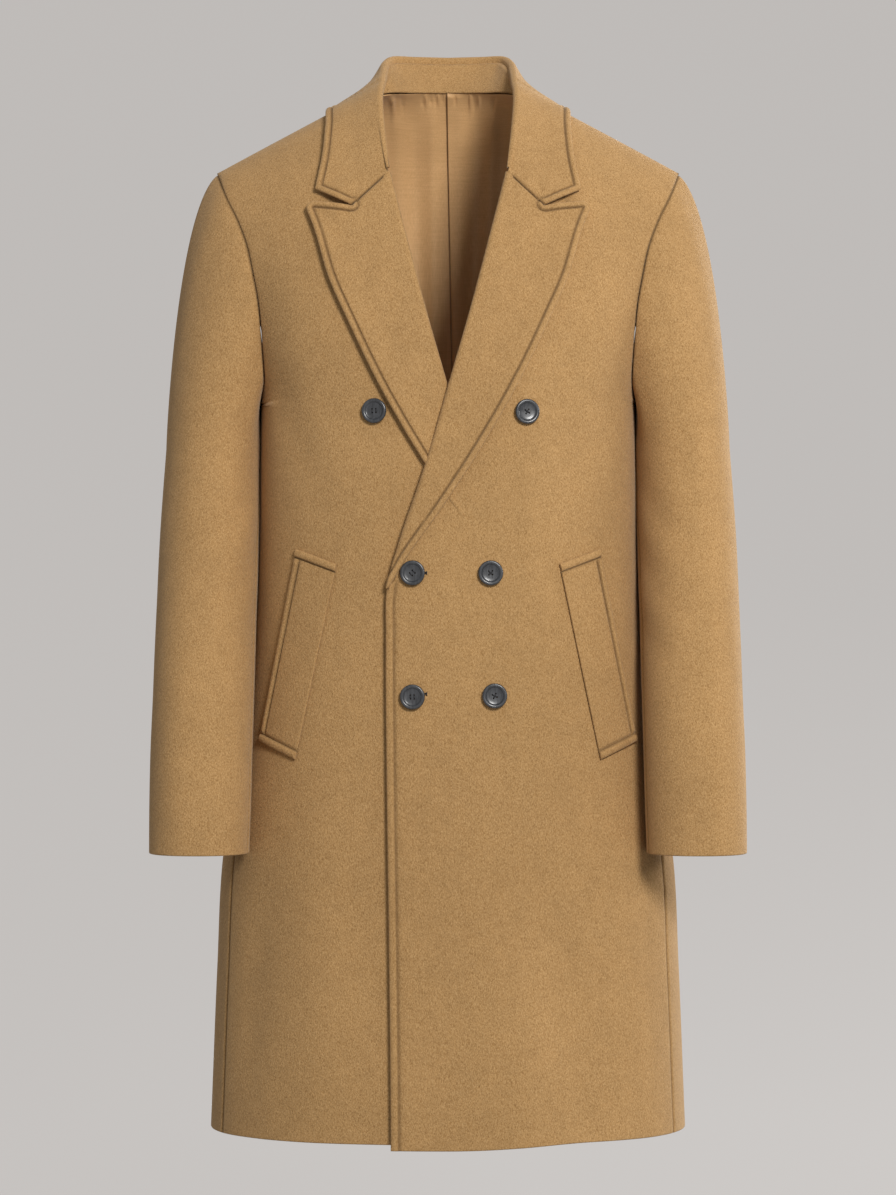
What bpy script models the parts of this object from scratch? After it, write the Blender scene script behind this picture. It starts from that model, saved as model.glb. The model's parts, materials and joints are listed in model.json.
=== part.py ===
"""A double-breasted overcoat with peak lapels, filled out as if worn, with nobody in it.

The frame is in metres: +Z up, the front faces -Y and the wearer's left is at +X. The origin is at the base of the
neck, level with the tops of the shoulder seams, where the wearer's shoulders carry the coat. Every piece is cloth cut
from one body surface, which front_y, back_y and torso_ring describe, or from the sleeve's rings or the collar's fold.
The left half is worked out, and the right half is its mirror image, apart from the lap of the fronts.
"""

import math

import bmesh
import bpy
import numpy as np

# Driving dimensions
HEM_Z = -1.065
OVERLAP_HEM_DROP = 0.005  # how much lower the front that laps over ends
CHEST_Z = -0.32  # level of the underarms, where the upper body begins
CLOTH = 0.0026
COLLAR_CLOTH = 0.0024
WELT_CLOTH = 0.0024
LINING_CLOTH = 0.0012
SEAM = 0.0005  # gap between two pieces along a seam
LAYER = 0.0009  # gap between a piece and the panel it lies on
OVERLAP_LIFT = 0.0072  # how far the outer front stands off the inner front and its lapel
NECK_HALF = 0.078
SHOULDER_HALF = 0.238
SHOULDER_SLOPE = 0.538
RIDGE_ROUNDING = 0.02
UPPER_WIDENING = 0.085
UPPER_WIDENING_POWER = 1.3
FRONT_ARCH = (1.6, 1.6)  # rise and rounding of the chest up to the shoulder seam
BACK_ARCH = (3.2, 3.0)
HANG_SIDE = 0.94  # the side seam's place in the skirt, as a share of the half width
UNDERARM_DROP = 0.326
NAPE_Z = 0.0075
FOLD_RADIUS = 0.0042
CREST_CLEARANCE = 0.0044  # least height of the collar's fold above the body's surface
SLEEVE_POWER = 2.15
FRONT_SLEEVE_SEAM = 0.465  # share of the way round a sleeve, from its outside by the front
BACK_SLEEVE_SEAM = 0.715
SHOULDER_LEAVE = (0.74, 0.0, -0.67)  # direction in which the sleeve leaves the shoulder point
UNDERARM_LEAVE = (0.30, 0.0, -0.95)
SLEEVE_SPREAD = 0.30  # how far the sleeve's front and back swell out of the armhole
BUTTON_RADIUS = 0.0125
LINING_SIDE_TRIM = 0.2  # share of a column by which the lining stops short of the side seams
PLEAT_WIDTH = 0.024
PLEAT_DEPTH = 0.0016

# Level sections of the body below the underarms
TORSO_SECTIONS = (
    # z, half_width, front_depth, back_depth, power
    (-1.120, 0.2460, 0.168, 0.153, 2.30),
    (-1.065, 0.2436, 0.166, 0.151, 2.30),
    (-0.900, 0.2370, 0.160, 0.143, 2.32),
    (-0.793, 0.2316, 0.156, 0.137, 2.35),
    (-0.700, 0.2180, 0.152, 0.130, 2.42),
    (-0.600, 0.2040, 0.148, 0.122, 2.50),
    (-0.500, 0.1930, 0.145, 0.117, 2.60),
    (-0.400, 0.1875, 0.143, 0.120, 2.70),
    (-0.320, 0.1865, 0.140, 0.126, 2.70),
    (-0.250, 0.1865, 0.140, 0.126, 2.70),
)

# Edge of a front, from the hem up the opening, the roll line and the neckline
FRONT_EDGE = (
    # z, x, which is negative past the centre line
    (-1.120, -0.0565),
    (-1.040, -0.0569),
    (-0.842, -0.0592),
    (-0.700, -0.0612),
    (-0.560, -0.0620),
    (-0.518, -0.0614),
    (-0.498, -0.0578),
    (-0.473, -0.0502),
    (-0.377, -0.0188),
    (-0.308, 0.0010),
    (-0.243, 0.0195),
    (-0.160, 0.0413),
    (-0.093, 0.0580),
    (-0.050, 0.0672),
    (0.000, 0.0780),
)

# The armhole's front and back edges, from the shoulder point down
ARMHOLE = (
    # z, front_x, back_x
    (-0.1150, 0.2260, 0.2300),
    (-0.1400, 0.2137, 0.2200),
    (-0.1680, 0.2034, 0.2110),
    (-0.1950, 0.1975, 0.2045),
    (-0.2215, 0.1924, 0.1990),
    (-0.2730, 0.1880, 0.1915),
    (-0.3030, 0.1866, 0.1878),
)

# Level rings of the left sleeve, below the sleeve cap
SLEEVE_RINGS = (
    # z, centre_x, centre_y, half_width, half_depth
    (-0.372, 0.2395, -0.016, 0.0490, 0.0740),
    (-0.423, 0.2415, -0.026, 0.0503, 0.0715),
    (-0.475, 0.2434, -0.041, 0.0509, 0.0690),
    (-0.526, 0.2448, -0.058, 0.0510, 0.0665),
    (-0.576, 0.2459, -0.074, 0.0513, 0.0640),
    (-0.626, 0.2468, -0.088, 0.0514, 0.0615),
    (-0.676, 0.2480, -0.099, 0.0515, 0.0590),
    (-0.726, 0.2486, -0.107, 0.0511, 0.0565),
    (-0.779, 0.2493, -0.112, 0.0501, 0.0540),
)

# Crest of the collar's fold, from the middle of the back to the top of the roll line. The cloth turns over it from
# start_turn, inside the neck, to end_turn, outside, both in degrees, and reaches inside_depth down inside.
COLLAR_FOLD = (
    # x, y, z, start_turn, end_turn, inside_depth
    (0.0000, 0.0900, 0.0445, 180, 14, 0.0065),
    (0.0350, 0.0870, 0.0450, 180, 16, 0.0065),
    (0.0580, 0.0750, 0.0440, 180, 28, 0.0065),
    (0.0665, 0.0530, 0.0360, 178, 42, 0.0060),
    (0.0682, 0.0260, 0.0235, 175, 52, 0.0055),
    (0.0688, -0.0010, 0.0105, 170, 60, 0.0050),
    (0.0699, -0.0300, -0.0115, 165, 66, 0.0040),
    (0.0679, -0.0600, -0.0440, 155, 70, 0.0030),
    (0.0637, -0.0800, -0.0756, 140, 74, 0.0020),
    (0.0610, -0.0885, -0.0885, 125, 76, 0.0008),
)

# Outer edge of the collar, from the middle of the back to the tip of the leaf
COLLAR_EDGE = (
    # x, y, z
    (0.0000, 0.1000, -0.0130),
    (0.0450, 0.0970, -0.0130),
    (0.0850, 0.0830, -0.0130),
    (0.1060, 0.0640, -0.0130),
    (0.1170, 0.0430, -0.0150),
    (0.1225, 0.0120, -0.0210),
    (0.1251, -0.0330, -0.0413),
    (0.1274, -0.0580, -0.0737),
    (0.1339, -0.0760, -0.1085),
)

# Places on the front, in x and z
GORGE_START = (0.0585, -0.0932)
GORGE_END = (0.0965, -0.1288)
LEAF_TIP = (0.1339, -0.1100)
LAPEL_SHOULDER = (0.1357, -0.1243)
LAPEL_TIP = (0.1433, -0.1300)

# Half of the back neck seam, from the nape to the shoulder seam
NECK_SEAM = (
    # x, z
    (0.0000, NAPE_Z),
    (0.0400, 0.0060),
    (0.0660, 0.0030),
    (0.0780, 0.0000),
)

# Lapel's outer edge, from its tip down to the break
LAPEL_OUTER = (
    # z, x
    (-0.1300, 0.1433),
    (-0.1428, 0.1378),
    (-0.2087, 0.1168),
    (-0.2405, 0.1025),
    (-0.3063, 0.0712),
    (-0.3724, 0.0339),
    (-0.4381, -0.0089),
    (-0.4798, -0.0385),
    (-0.5140, -0.0590),
)

# Corners of a pocket welt, from its upper inner corner round to its lower inner one
WELT_CORNERS = (
    # x, z
    (0.1103, -0.4896),
    (0.1506, -0.4743),
    (0.1881, -0.6682),
    (0.1516, -0.6852),
)

# A button's outline, from the middle of its face to the middle of its back
BUTTON_PROFILE = (
    # share_of_radius, height
    (0.68, 0.0026),
    (0.76, 0.0040),
    (0.90, 0.0043),
    (1.00, 0.0031),
    (1.00, 0.0014),
    (0.80, 0.0000),
)

BUTTONS = (
    # name, x, z, on the front that laps over
    ("button_top_left", 0.0782, -0.3382, True),
    ("button_top_right", -0.0732, -0.3372, False),
    ("button_middle_left", 0.0422, -0.4987, True),
    ("button_middle_right", -0.0352, -0.4987, True),
    ("button_low_left", 0.0461, -0.6207, True),
    ("button_low_right", -0.0352, -0.6217, True),
)

WOOL = (0.53, 0.36, 0.19)
SATIN = (0.56, 0.38, 0.22)
HORN = (0.035, 0.035, 0.04)

# How finely the pieces are divided
FRONT_COLUMNS = 13
BACK_COLUMNS = 10  # on each side of the centre
LOWER_ROWS = 12
UPPER_ROWS = 11
CAP_ROWS = 9
SLEEVE_UPPER_COLUMNS = 14
SLEEVE_UNDER_COLUMNS = 7
LAPEL_ROWS = 14
LAPEL_COLUMNS = 3  # on each side of the corner where the gorge ends
COLLAR_COLUMNS = 16  # on each side of the centre
FOLD_STEPS = 4
FALL_STEPS = 5
STAND_SHARE = 0.38  # how far round the collar its stand shows inside the neck
STAND_FOOT_SHARE = 0.8  # and how far along the neck seam its foot reaches
WELT_ROWS = 9
WELT_COLUMNS = 4
BUTTON_SIDES = 20
DENSE = 90  # points of a curve before it is divided


# ---- Curves


def smooth_table(table, key):
    """A function of a table's first column that reads another of its columns along a smooth curve."""
    rows = np.array(sorted(table, key=lambda row: row[0]), dtype=float)
    keys = rows[:, 0]
    slopes = np.gradient(rows[:, key], keys)

    def read(at):
        at = np.clip(np.asarray(at, dtype=float), keys[0], keys[-1])
        cell = np.clip(np.searchsorted(keys, at) - 1, 0, len(keys) - 2)
        width = keys[cell + 1] - keys[cell]
        t = (at - keys[cell]) / width
        start, end = rows[cell, key], rows[cell + 1, key]
        ease = t * t * (3 - 2 * t)
        bend = t * (1 - t) * (1 - t) * slopes[cell] - t * t * (1 - t) * slopes[cell + 1]
        return start + (end - start) * ease + bend * width

    return read


half_width_at = smooth_table(TORSO_SECTIONS, 1)
front_depth_at = smooth_table(TORSO_SECTIONS, 2)
back_depth_at = smooth_table(TORSO_SECTIONS, 3)
power_at = smooth_table(TORSO_SECTIONS, 4)
front_edge_at = smooth_table(FRONT_EDGE, 1)


def smooth_step(start, end, at):
    t = np.clip((at - start) / (end - start), 0.0, 1.0)
    return t * t * (3 - 2 * t)


def unit(vectors):
    return vectors / np.linalg.norm(vectors, axis=-1, keepdims=True)


def lengths(curve):
    steps = np.linalg.norm(np.diff(curve, axis=0), axis=1)
    return np.concatenate([[0], np.cumsum(steps)])


def at_shares(curve, shares):
    """Points at shares of a curve's length."""
    along = lengths(curve)
    at = np.asarray(shares, dtype=float) * along[-1]
    return np.stack([np.interp(at, along, curve[:, k]) for k in range(curve.shape[1])], axis=1)


def spline(points, count=DENSE):
    """A smooth curve through points, as evenly spaced points."""
    points = np.array(points, dtype=float)
    along = lengths(points)
    table = [(along[i], *points[i]) for i in range(len(points))]
    at = np.linspace(0, along[-1], count * 4)
    curve = np.stack([smooth_table(table, k + 1)(at) for k in range(points.shape[1])], axis=1)
    return at_shares(curve, np.linspace(0, 1, count))


def between_seams(curve, columns, start_gap=SEAM / 2, end_gap=SEAM / 2):
    """Even points along a curve, which stop short of its ends by half a seam's gap each."""
    length = lengths(curve)[-1]
    return at_shares(curve, np.linspace(start_gap / length, 1 - end_gap / length, columns))


# ---- The body's surface


def ridge_z(x):
    """Height of the shoulder seam over x."""
    return -SHOULDER_SLOPE * (np.sqrt(np.square(x) + RIDGE_ROUNDING**2) - NECK_HALF)


def section(x, z, depth_at, arch):
    """Distance of the body's surface from the plane y = 0 at x and z."""
    x, z = np.broadcast_arrays(np.asarray(x, dtype=float), np.asarray(z, dtype=float))
    top = ridge_z(x)
    share = np.clip((top - z) / (top - CHEST_Z), 0.0, 1.0)  # 0 at the shoulder seam, 1 at the chest
    level = np.minimum(z, CHEST_Z)
    width = half_width_at(level) + UPPER_WIDENING * (1 - share) ** UPPER_WIDENING_POWER
    power = power_at(level)
    across = np.clip(1 - (np.abs(x) / width) ** power, 0.0, 1.0) ** (1 / power)
    rise, rounding = arch
    return depth_at(level) * across * (1 - (1 - share) ** rise) ** (1 / rounding)


def front_y(x, z, over=False):
    """The front's outer surface; the front that laps over stands off the one beneath it near the centre."""
    y = -section(x, z, front_depth_at, FRONT_ARCH)
    if over:
        near_centre = 1 - smooth_step(0.070, 0.135, np.asarray(x, dtype=float))
        below_neck = 1 - smooth_step(-0.300, -0.200, np.asarray(z, dtype=float))
        y = y - OVERLAP_LIFT * near_centre * below_neck
    return y


def back_y(x, z):
    return section(x, z, back_depth_at, BACK_ARCH)


def torso_ring(z, start, end):
    """Part of the level ring at z, between two angles: 0 is the centre front, a quarter turn the side."""
    angles = np.linspace(start, end, DENSE)
    power = power_at(z)
    x = half_width_at(z) * np.abs(np.sin(angles)) ** (2 / power)
    depth = np.where(np.cos(angles) > 0, -front_depth_at(z), back_depth_at(z))
    y = depth * np.abs(np.cos(angles)) ** (2 / power)
    return np.stack([x, y, np.full(DENSE, z)], axis=1)


def side_seam_angle(z):
    """Angle of the side seam, which comes forward in the skirt."""
    share = HANG_SIDE + (1 - HANG_SIDE) * smooth_step(-0.80, -0.40, z)
    return math.asin(share ** (power_at(z) / 2))


def on_front(x, z, out=0.0, over=False, step=0.001):
    """Points of the front's outer surface at x and z, moved out along its normal."""
    x, z = np.broadcast_arrays(np.asarray(x, dtype=float), np.asarray(z, dtype=float))
    y = front_y(x, z, over)
    slope_x = (front_y(x + step, z, over) - front_y(x - step, z, over)) / (2 * step)
    slope_z = (front_y(x, z + step, over) - front_y(x, z - step, over)) / (2 * step)
    normal = np.stack([slope_x, -np.ones_like(x), slope_z], axis=-1)
    normal /= np.linalg.norm(normal, axis=-1, keepdims=True)
    return np.stack([x, y, z], axis=-1) + normal * np.asarray(out)[..., None]


def upper_level(points):
    """0 on the surface of the upper body, above 0 outside it."""
    x, y, z = np.moveaxis(points, -1, 0)
    top = ridge_z(x)
    climb = np.clip((z - CHEST_Z) / (top - CHEST_Z), 0.0, None)
    share = np.clip(1 - climb, 0.0, 1.0)
    width = half_width_at(CHEST_Z) + UPPER_WIDENING * (1 - share) ** UPPER_WIDENING_POWER
    power = power_at(CHEST_Z)
    across = np.clip(1 - (np.abs(x) / width) ** power, 0.001, 1.0) ** (1 / power)
    in_front = y < 0
    depth = np.where(in_front, front_depth_at(CHEST_Z), back_depth_at(CHEST_Z)) * across
    rise = np.where(in_front, FRONT_ARCH[0], BACK_ARCH[0])
    rounding = np.where(in_front, FRONT_ARCH[1], BACK_ARCH[1])
    return (np.abs(y) / depth) ** rounding + climb**rise - 1


def stand_clear(points, out, step=0.0002):
    """Points moved off the upper body until they are at least this far outside it."""
    points = np.array(points, dtype=float)
    for _ in range(5):
        slopes = [
            (upper_level(points + step * axis) - upper_level(points - step * axis)) / (2 * step) for axis in np.eye(3)
        ]
        slope = np.stack(slopes, axis=-1)
        steepness = np.linalg.norm(slope, axis=-1, keepdims=True)
        distance = upper_level(points)[..., None] / steepness
        points = points + slope / steepness * np.clip(out - distance, 0.0, 0.004)
    return points


def armhole_loop():
    """The left armhole, from the shoulder point down its front, under the arm and up its back."""
    shoulder = (SHOULDER_HALF, 0.0, ridge_z(SHOULDER_HALF))
    front = [(x, front_y(x, z), z) for z, x, _ in ARMHOLE]
    back = [(x, back_y(x, z), z) for z, _, x in ARMHOLE]
    side = half_width_at(CHEST_Z)
    under = [
        (side, -0.022, 0.006 - UNDERARM_DROP),
        (side, 0.000, -UNDERARM_DROP),
        (side, 0.022, 0.006 - UNDERARM_DROP),
    ]
    return spline([shoulder, *front, *under, *back[::-1], shoulder], 4 * DENSE)


ARMHOLE_LOOP = armhole_loop()
UNDERARM_SHARE = np.argmin(ARMHOLE_LOOP[:, 2]) / (len(ARMHOLE_LOOP) - 1)


# ---- Solids


def finish_object(name, mesh, material):
    bmesh.ops.triangulate(mesh, faces=mesh.faces[:])
    data = bpy.data.meshes.new(name)
    mesh.to_mesh(data)
    mesh.free()
    data.shade_smooth()
    data.materials.append(material)
    item = bpy.data.objects.new(name, data)
    bpy.context.scene.collection.objects.link(item)
    return item


def slopes_down(grid):
    """Direction of each column of a grid at each of its points, whatever their spacing."""
    return np.stack([np.gradient(line, lengths(line), axis=0, edge_order=2) for line in np.swapaxes(grid, 0, 1)], axis=1)


def grid_normals(grid):
    up = slopes_down(grid)
    across = np.swapaxes(slopes_down(np.swapaxes(grid, 0, 1)), 0, 1)
    return unit(np.cross(across, up))


def level_at_ridge(grid, normals):
    """Normals of a front or back whose last row stands square to the shoulder seam, so that the walls meet flush."""
    x = grid[-1, :, :1]
    square = unit(np.concatenate([SHOULDER_SLOPE * np.sign(x), np.zeros_like(x), np.ones_like(x)], axis=1))
    on_shoulder = smooth_step(0.8 * NECK_HALF, NECK_HALF, np.abs(x))
    normals[-1] = unit(normals[-1] + (square - normals[-1]) * on_shoulder)
    return normals


def wall(name, grid, thickness, material, mirrored=False, at_shoulder=False):
    """A cloth wall: a grid of points is its outer surface, and its inner one lies a thickness behind."""
    grid = np.array(grid, dtype=float)
    normals = grid_normals(grid)
    if at_shoulder:
        normals = level_at_ridge(grid, normals)
    inner = grid - normals * np.asarray(thickness)[..., None]
    side = np.array([-1.0 if mirrored else 1.0, 1.0, 1.0])
    mesh = bmesh.new()
    o = [[mesh.verts.new(point * side) for point in row] for row in grid]
    n = [[mesh.verts.new(point * side) for point in row] for row in inner]

    def quad(*corners):
        mesh.faces.new(corners[::-1] if mirrored else corners)

    rows, columns = grid.shape[:2]
    for i in range(rows - 1):
        for j in range(columns - 1):
            quad(o[i][j], o[i][j + 1], o[i + 1][j + 1], o[i + 1][j])
            quad(n[i + 1][j], n[i + 1][j + 1], n[i][j + 1], n[i][j])
        quad(n[i][0], o[i][0], o[i + 1][0], n[i + 1][0])
        quad(o[i][-1], n[i][-1], n[i + 1][-1], o[i + 1][-1])
    for j in range(columns - 1):
        quad(n[0][j], n[0][j + 1], o[0][j + 1], o[0][j])
        quad(o[-1][j], o[-1][j + 1], n[-1][j + 1], n[-1][j])
    return finish_object(name, mesh, material)


def make_material(name, colour, roughness):
    material = bpy.data.materials.new(name)
    material.use_nodes = True
    shader = material.node_tree.nodes["Principled BSDF"]
    shader.inputs["Base Color"].default_value = (*colour, 1.0)
    shader.inputs["Roughness"].default_value = roughness
    return material


# ---- Fronts and back

LOWER_LEVELS = np.linspace(HEM_Z, CHEST_Z - 0.022, LOWER_ROWS)
NECK_SHARES = np.linspace(0, 1, UPPER_ROWS)  # how far up each upper row is at the neck
SHOULDER_SHARES = 1 - (1 - NECK_SHARES) ** 1.9  # and at the armhole, closer where the shoulder rounds over
QUARTER_SINE = np.sin(np.linspace(0, math.pi / 2, DENSE))  # closer together at the side


def end_at(curve, end):
    """The curve with its last stretch eased onto a point."""
    ease = np.linspace(0, 1, len(curve))[:, None] ** 12
    return curve + (end - curve[-1]) * ease


def front_row_below(z, over):
    edge = float(front_edge_at(z))
    side = torso_ring(z, 0, side_seam_angle(z))[-1]
    x = edge + (side[0] - edge) * QUARTER_SINE
    curve = end_at(np.stack([x, front_y(x, z, over), np.full(DENSE, z)], axis=1), side)
    if over:
        at_hem = smooth_step(HEM_Z + 0.12, HEM_Z, z)
        curve[:, 2] -= OVERLAP_HEM_DROP * at_hem * (1 - smooth_step(0.0, 0.15, x))
    return curve


def front_row_above(share, over):
    """A row from the roll line or the neckline to the armhole, and at the top the shoulder seam."""
    left_z = CHEST_Z * (1 - share)
    left = np.array([float(front_edge_at(left_z)), left_z])
    right = at_shares(ARMHOLE_LOOP, [UNDERARM_SHARE * (1 - share)])[0]
    x, z = (left + (right[[0, 2]] - left) * QUARTER_SINE[:, None]).T
    z = np.minimum(z, ridge_z(x))
    return end_at(np.stack([x, front_y(x, z, over), z], axis=1), right)


def front_grid(over):
    curves = [front_row_below(z, over) for z in LOWER_LEVELS]
    curves += [front_row_above(share, over) for share in SHOULDER_SHARES]
    rows = [between_seams(curve, FRONT_COLUMNS, 0.0) for curve in curves]
    rows[-1][:, 1] -= SEAM / 2
    return rows


def back_row_above(neck_share, shoulder_share):
    """A row across the upper back, bent up at the top into the neck seam and the shoulder seam."""
    left_z = CHEST_Z + (NAPE_Z - CHEST_Z) * neck_share
    right = at_shares(ARMHOLE_LOOP, [UNDERARM_SHARE + (1 - UNDERARM_SHARE) * shoulder_share])[0]
    shoulder = (SHOULDER_HALF, ridge_z(SHOULDER_HALF))
    seam = np.concatenate([spline(NECK_SEAM), np.linspace(NECK_SEAM[-1], shoulder, DENSE)[1:]])
    top = at_shares(seam, QUARTER_SINE)
    straight = np.array([0.0, left_z]) + (right[[0, 2]] - (0.0, left_z)) * QUARTER_SINE[:, None]
    over_shoulder = smooth_step(0.05, 0.11, top[:, :1])
    bent = neck_share**4 + (shoulder_share**4 - neck_share**4) * over_shoulder
    x, z = (straight + (top - straight) * bent).T
    z = np.minimum(z, ridge_z(x))
    return end_at(np.stack([x, back_y(x, z), z], axis=1), right)


def back_grid():
    curves = [torso_ring(z, math.pi, side_seam_angle(z)) for z in LOWER_LEVELS]
    curves += [back_row_above(*shares) for shares in zip(NECK_SHARES, SHOULDER_SHARES)]
    rows = [between_seams(curve, BACK_COLUMNS, 0.0) for curve in curves]
    rows[-1][:, 1] += SEAM / 2
    mirror = np.array([-1.0, 1.0, 1.0])
    return np.array([np.concatenate([row[::-1], row[1:] * mirror]) for row in rows])


# ---- Sleeves


def sleeve_ring(ring, shares):
    z, centre_x, centre_y, half_width, half_depth = ring
    turn = 2 * math.pi * shares
    cosine, sine = np.cos(turn), np.sin(turn)
    x = centre_x + half_width * np.sign(cosine) * np.abs(cosine) ** (2 / SLEEVE_POWER)
    y = centre_y - half_depth * np.sign(sine) * np.abs(sine) ** (2 / SLEEVE_POWER)
    return np.stack([x, y, np.full_like(x, z)], axis=1)


def sleeve_cap(shares):
    """Rows from the armhole to the first level ring, which leave the shoulder outwards and the underarm downwards."""
    turn = 2 * math.pi * shares
    under = ((1 - np.cos(turn)) / 2)[:, None]
    leave = np.array(SHOULDER_LEAVE) * (1 - under) + np.array(UNDERARM_LEAVE) * under
    leave[:, 1] -= SLEEVE_SPREAD * np.sin(turn)
    leave /= np.linalg.norm(leave, axis=1, keepdims=True)
    arrive = np.array([0.02, -0.12, -0.99])
    start = at_shares(ARMHOLE_LOOP, shares) + leave * SEAM
    end = sleeve_ring(SLEEVE_RINGS[0], shares)
    reach = np.linalg.norm(end - start, axis=1, keepdims=True)
    rows = []
    for t in np.linspace(0, 1, CAP_ROWS) ** 1.15:
        ease = t * t * (3 - 2 * t)
        bend = leave * (0.45 * t * (1 - t) ** 2) - arrive * (0.95 * t * t * (1 - t))
        rows.append(start + (end - start) * ease + bend * reach)
    return rows


def sleeve_grid(start, end, columns):
    shares = np.mod(np.linspace(start, end, columns), 1.0)
    rows = sleeve_cap(shares) + [sleeve_ring(ring, shares) for ring in SLEEVE_RINGS[1:]]
    return np.array([between_seams(row, columns) for row in rows])[::-1, ::-1]


# ---- Lapels, collar, welts, lining and buttons


def beside_gorge(point, side):
    """A point of the gorge seam, moved half a seam's gap to the collar's side, 1, or the lapel's, -1."""
    along = np.subtract(GORGE_END, GORGE_START)
    normal = np.array([-along[1], along[0]]) / np.linalg.norm(along)
    return np.array(point) + normal * side * SEAM / 2


def lapel_grid(over):
    """Rows run out from the roll line, from the break up to the gorge and the lapel's top edge."""
    steps = np.linspace(0, 1, LAPEL_ROWS)
    outline = spline([(x, z) for z, x in LAPEL_OUTER[::-1]])
    outer = at_shares(outline, steps)
    gorge = beside_gorge(GORGE_START, -1)
    heights = outer[0, 1] + (gorge[1] - outer[0, 1]) * steps
    inner = np.stack([front_edge_at(heights), heights], axis=1)
    across = np.linspace(0, 1, 2 * LAPEL_COLUMNS + 1)[:, None]
    rows = [a + (b - a) * across for a, b in zip(inner[:-1], outer[:-1])]
    corner = beside_gorge(GORGE_END, -1)
    along_gorge = np.linspace(gorge, corner, LAPEL_COLUMNS + 1)
    along_top = at_shares(np.array([corner, LAPEL_SHOULDER, LAPEL_TIP]), np.linspace(0, 1, LAPEL_COLUMNS + 1))
    rows.append(np.concatenate([along_gorge, along_top[1:]]))
    x, z = np.moveaxis(np.array(rows), -1, 0)
    return on_front(x, z, LAYER + CLOTH, over)


def collar_stations():
    """For each place round half of the collar: the fold's crest, its two directions, its turns and its edge."""
    fold = np.array(COLLAR_FOLD)
    along = lengths(fold[:, :3]) / lengths(fold[:, :3])[-1]
    table = [(along[i], *fold[i]) for i in range(len(fold))]
    shares = np.linspace(0, 1, COLLAR_COLUMNS + 1)
    crest = np.stack([smooth_table(table, k)(shares) for k in (1, 2, 3)], axis=1)
    crest = stand_clear(crest, CREST_CLEARANCE)
    tangent = unit(np.gradient(crest, axis=0))
    outward = crest * (1, 0, 0) + np.maximum(crest, 0) * (0, 1, 0)
    outward = unit(outward - tangent * (outward * tangent).sum(axis=1, keepdims=True))
    turns = np.radians(np.stack([smooth_table(table, 4)(shares), smooth_table(table, 5)(shares)], axis=1))
    depth = smooth_table(table, 6)(shares)
    edge = at_shares(spline([row[:3] for row in COLLAR_EDGE]), shares)
    return crest, outward, np.cross(tangent, outward), turns, depth, edge


def collar_half():
    """Columns from the middle of the back to the leaf: the inside seam, the fold, and the fall to its edge."""
    out = LAYER + COLLAR_CLOTH
    columns = []
    for crest, outward, up, (start, end), depth, edge in zip(*collar_stations()):
        centre = crest - up * FOLD_RADIUS
        turns = np.linspace(start, end, FOLD_STEPS)[:, None]
        arc = centre + FOLD_RADIUS * (outward * np.cos(turns) + up * np.sin(turns))
        inside = arc[0] + depth * (up * math.cos(start) - outward * math.sin(start))
        onward = outward * math.sin(end) - up * math.cos(end)
        edge = stand_clear(edge, out)
        middle = arc[-1] + onward * 0.5 * np.linalg.norm(edge - arc[-1])
        t = np.linspace(0, 1, FALL_STEPS + 1)[1:, None]
        fall = arc[-1] * (1 - t) ** 2 + middle * 2 * t * (1 - t) + edge * t * t
        columns.append(np.concatenate([[inside], arc, fall]))
    gorge, corner = beside_gorge(GORGE_START, 1), beside_gorge(GORGE_END, 1)
    leaf = at_shares(np.array([gorge, corner, LEAF_TIP]), np.linspace(0, 1, FALL_STEPS + 1))[1:]
    columns[-1][-FALL_STEPS:] = on_front(leaf[:, 0], leaf[:, 1], out)
    half = np.array(columns)
    half[:, -FALL_STEPS:] = stand_clear(half[:, -FALL_STEPS:], out)
    return half


def both_sides(half):
    """A whole grid from its left half, whose first column lies on the centre line."""
    return np.concatenate([half[:0:-1] * (-1, 1, 1), half])


def collar_grid():
    return np.swapaxes(both_sides(collar_half()), 0, 1)


def stand_grid():
    """The band inside the neck, from the neck seam up to the collar's inside seam."""
    count = int(STAND_SHARE * COLLAR_COLUMNS) + 1
    top = collar_half()[:count, 0]
    x, z = at_shares(spline(NECK_SEAM), np.linspace(0, STAND_FOOT_SHARE, count)).T
    inward = unit(np.stack([x, back_y(x, z), np.zeros(count)], axis=1)) * CLOTH
    foot = np.stack([x, back_y(x, z), z], axis=1) - inward + (0, 0, 2 * SEAM)
    rise = unit(top - foot)
    middle = foot + (top - foot) * (0.25, 0.25, 0.55)
    half = np.stack([foot, middle, top - rise * 3 * SEAM], axis=1)
    return np.swapaxes(both_sides(half), 0, 1)


def welt_grid(over):
    upper_inner, upper_outer, lower_outer, lower_inner = np.array(WELT_CORNERS)
    down = np.linspace(1, 0, WELT_ROWS)[:, None]
    inner = upper_inner + (lower_inner - upper_inner) * down
    outer = upper_outer + (lower_outer - upper_outer) * down
    across = np.linspace(0, 1, WELT_COLUMNS)[None, :, None]
    x, z = np.moveaxis(inner[:, None] + (outer - inner)[:, None] * across, -1, 0)
    return on_front(x, z, 1.5 * LAYER + WELT_CLOTH, over)


def lining_walls():
    """The lining's outer surface just inside the back, and its thickness, which steps up at the centre pleat."""
    grid = back_grid()
    grid = grid - level_at_ridge(grid, grid_normals(grid)) * (CLOTH + LAYER)
    trims = ((np.s_[0], np.s_[1], 0.35), (np.s_[-1], np.s_[-2], 0.12))
    for edge, next_in, share in trims:
        grid[edge] += (grid[next_in] - grid[edge]) * share
        grid[:, edge] += (grid[:, next_in] - grid[:, edge]) * LINING_SIDE_TRIM
    in_pleat = smooth_step(0.0, 0.004, grid[..., 0]) * (1 - smooth_step(PLEAT_WIDTH, 2 * PLEAT_WIDTH, grid[..., 0]))
    return grid, LINING_CLOTH + PLEAT_DEPTH * in_pleat


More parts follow.
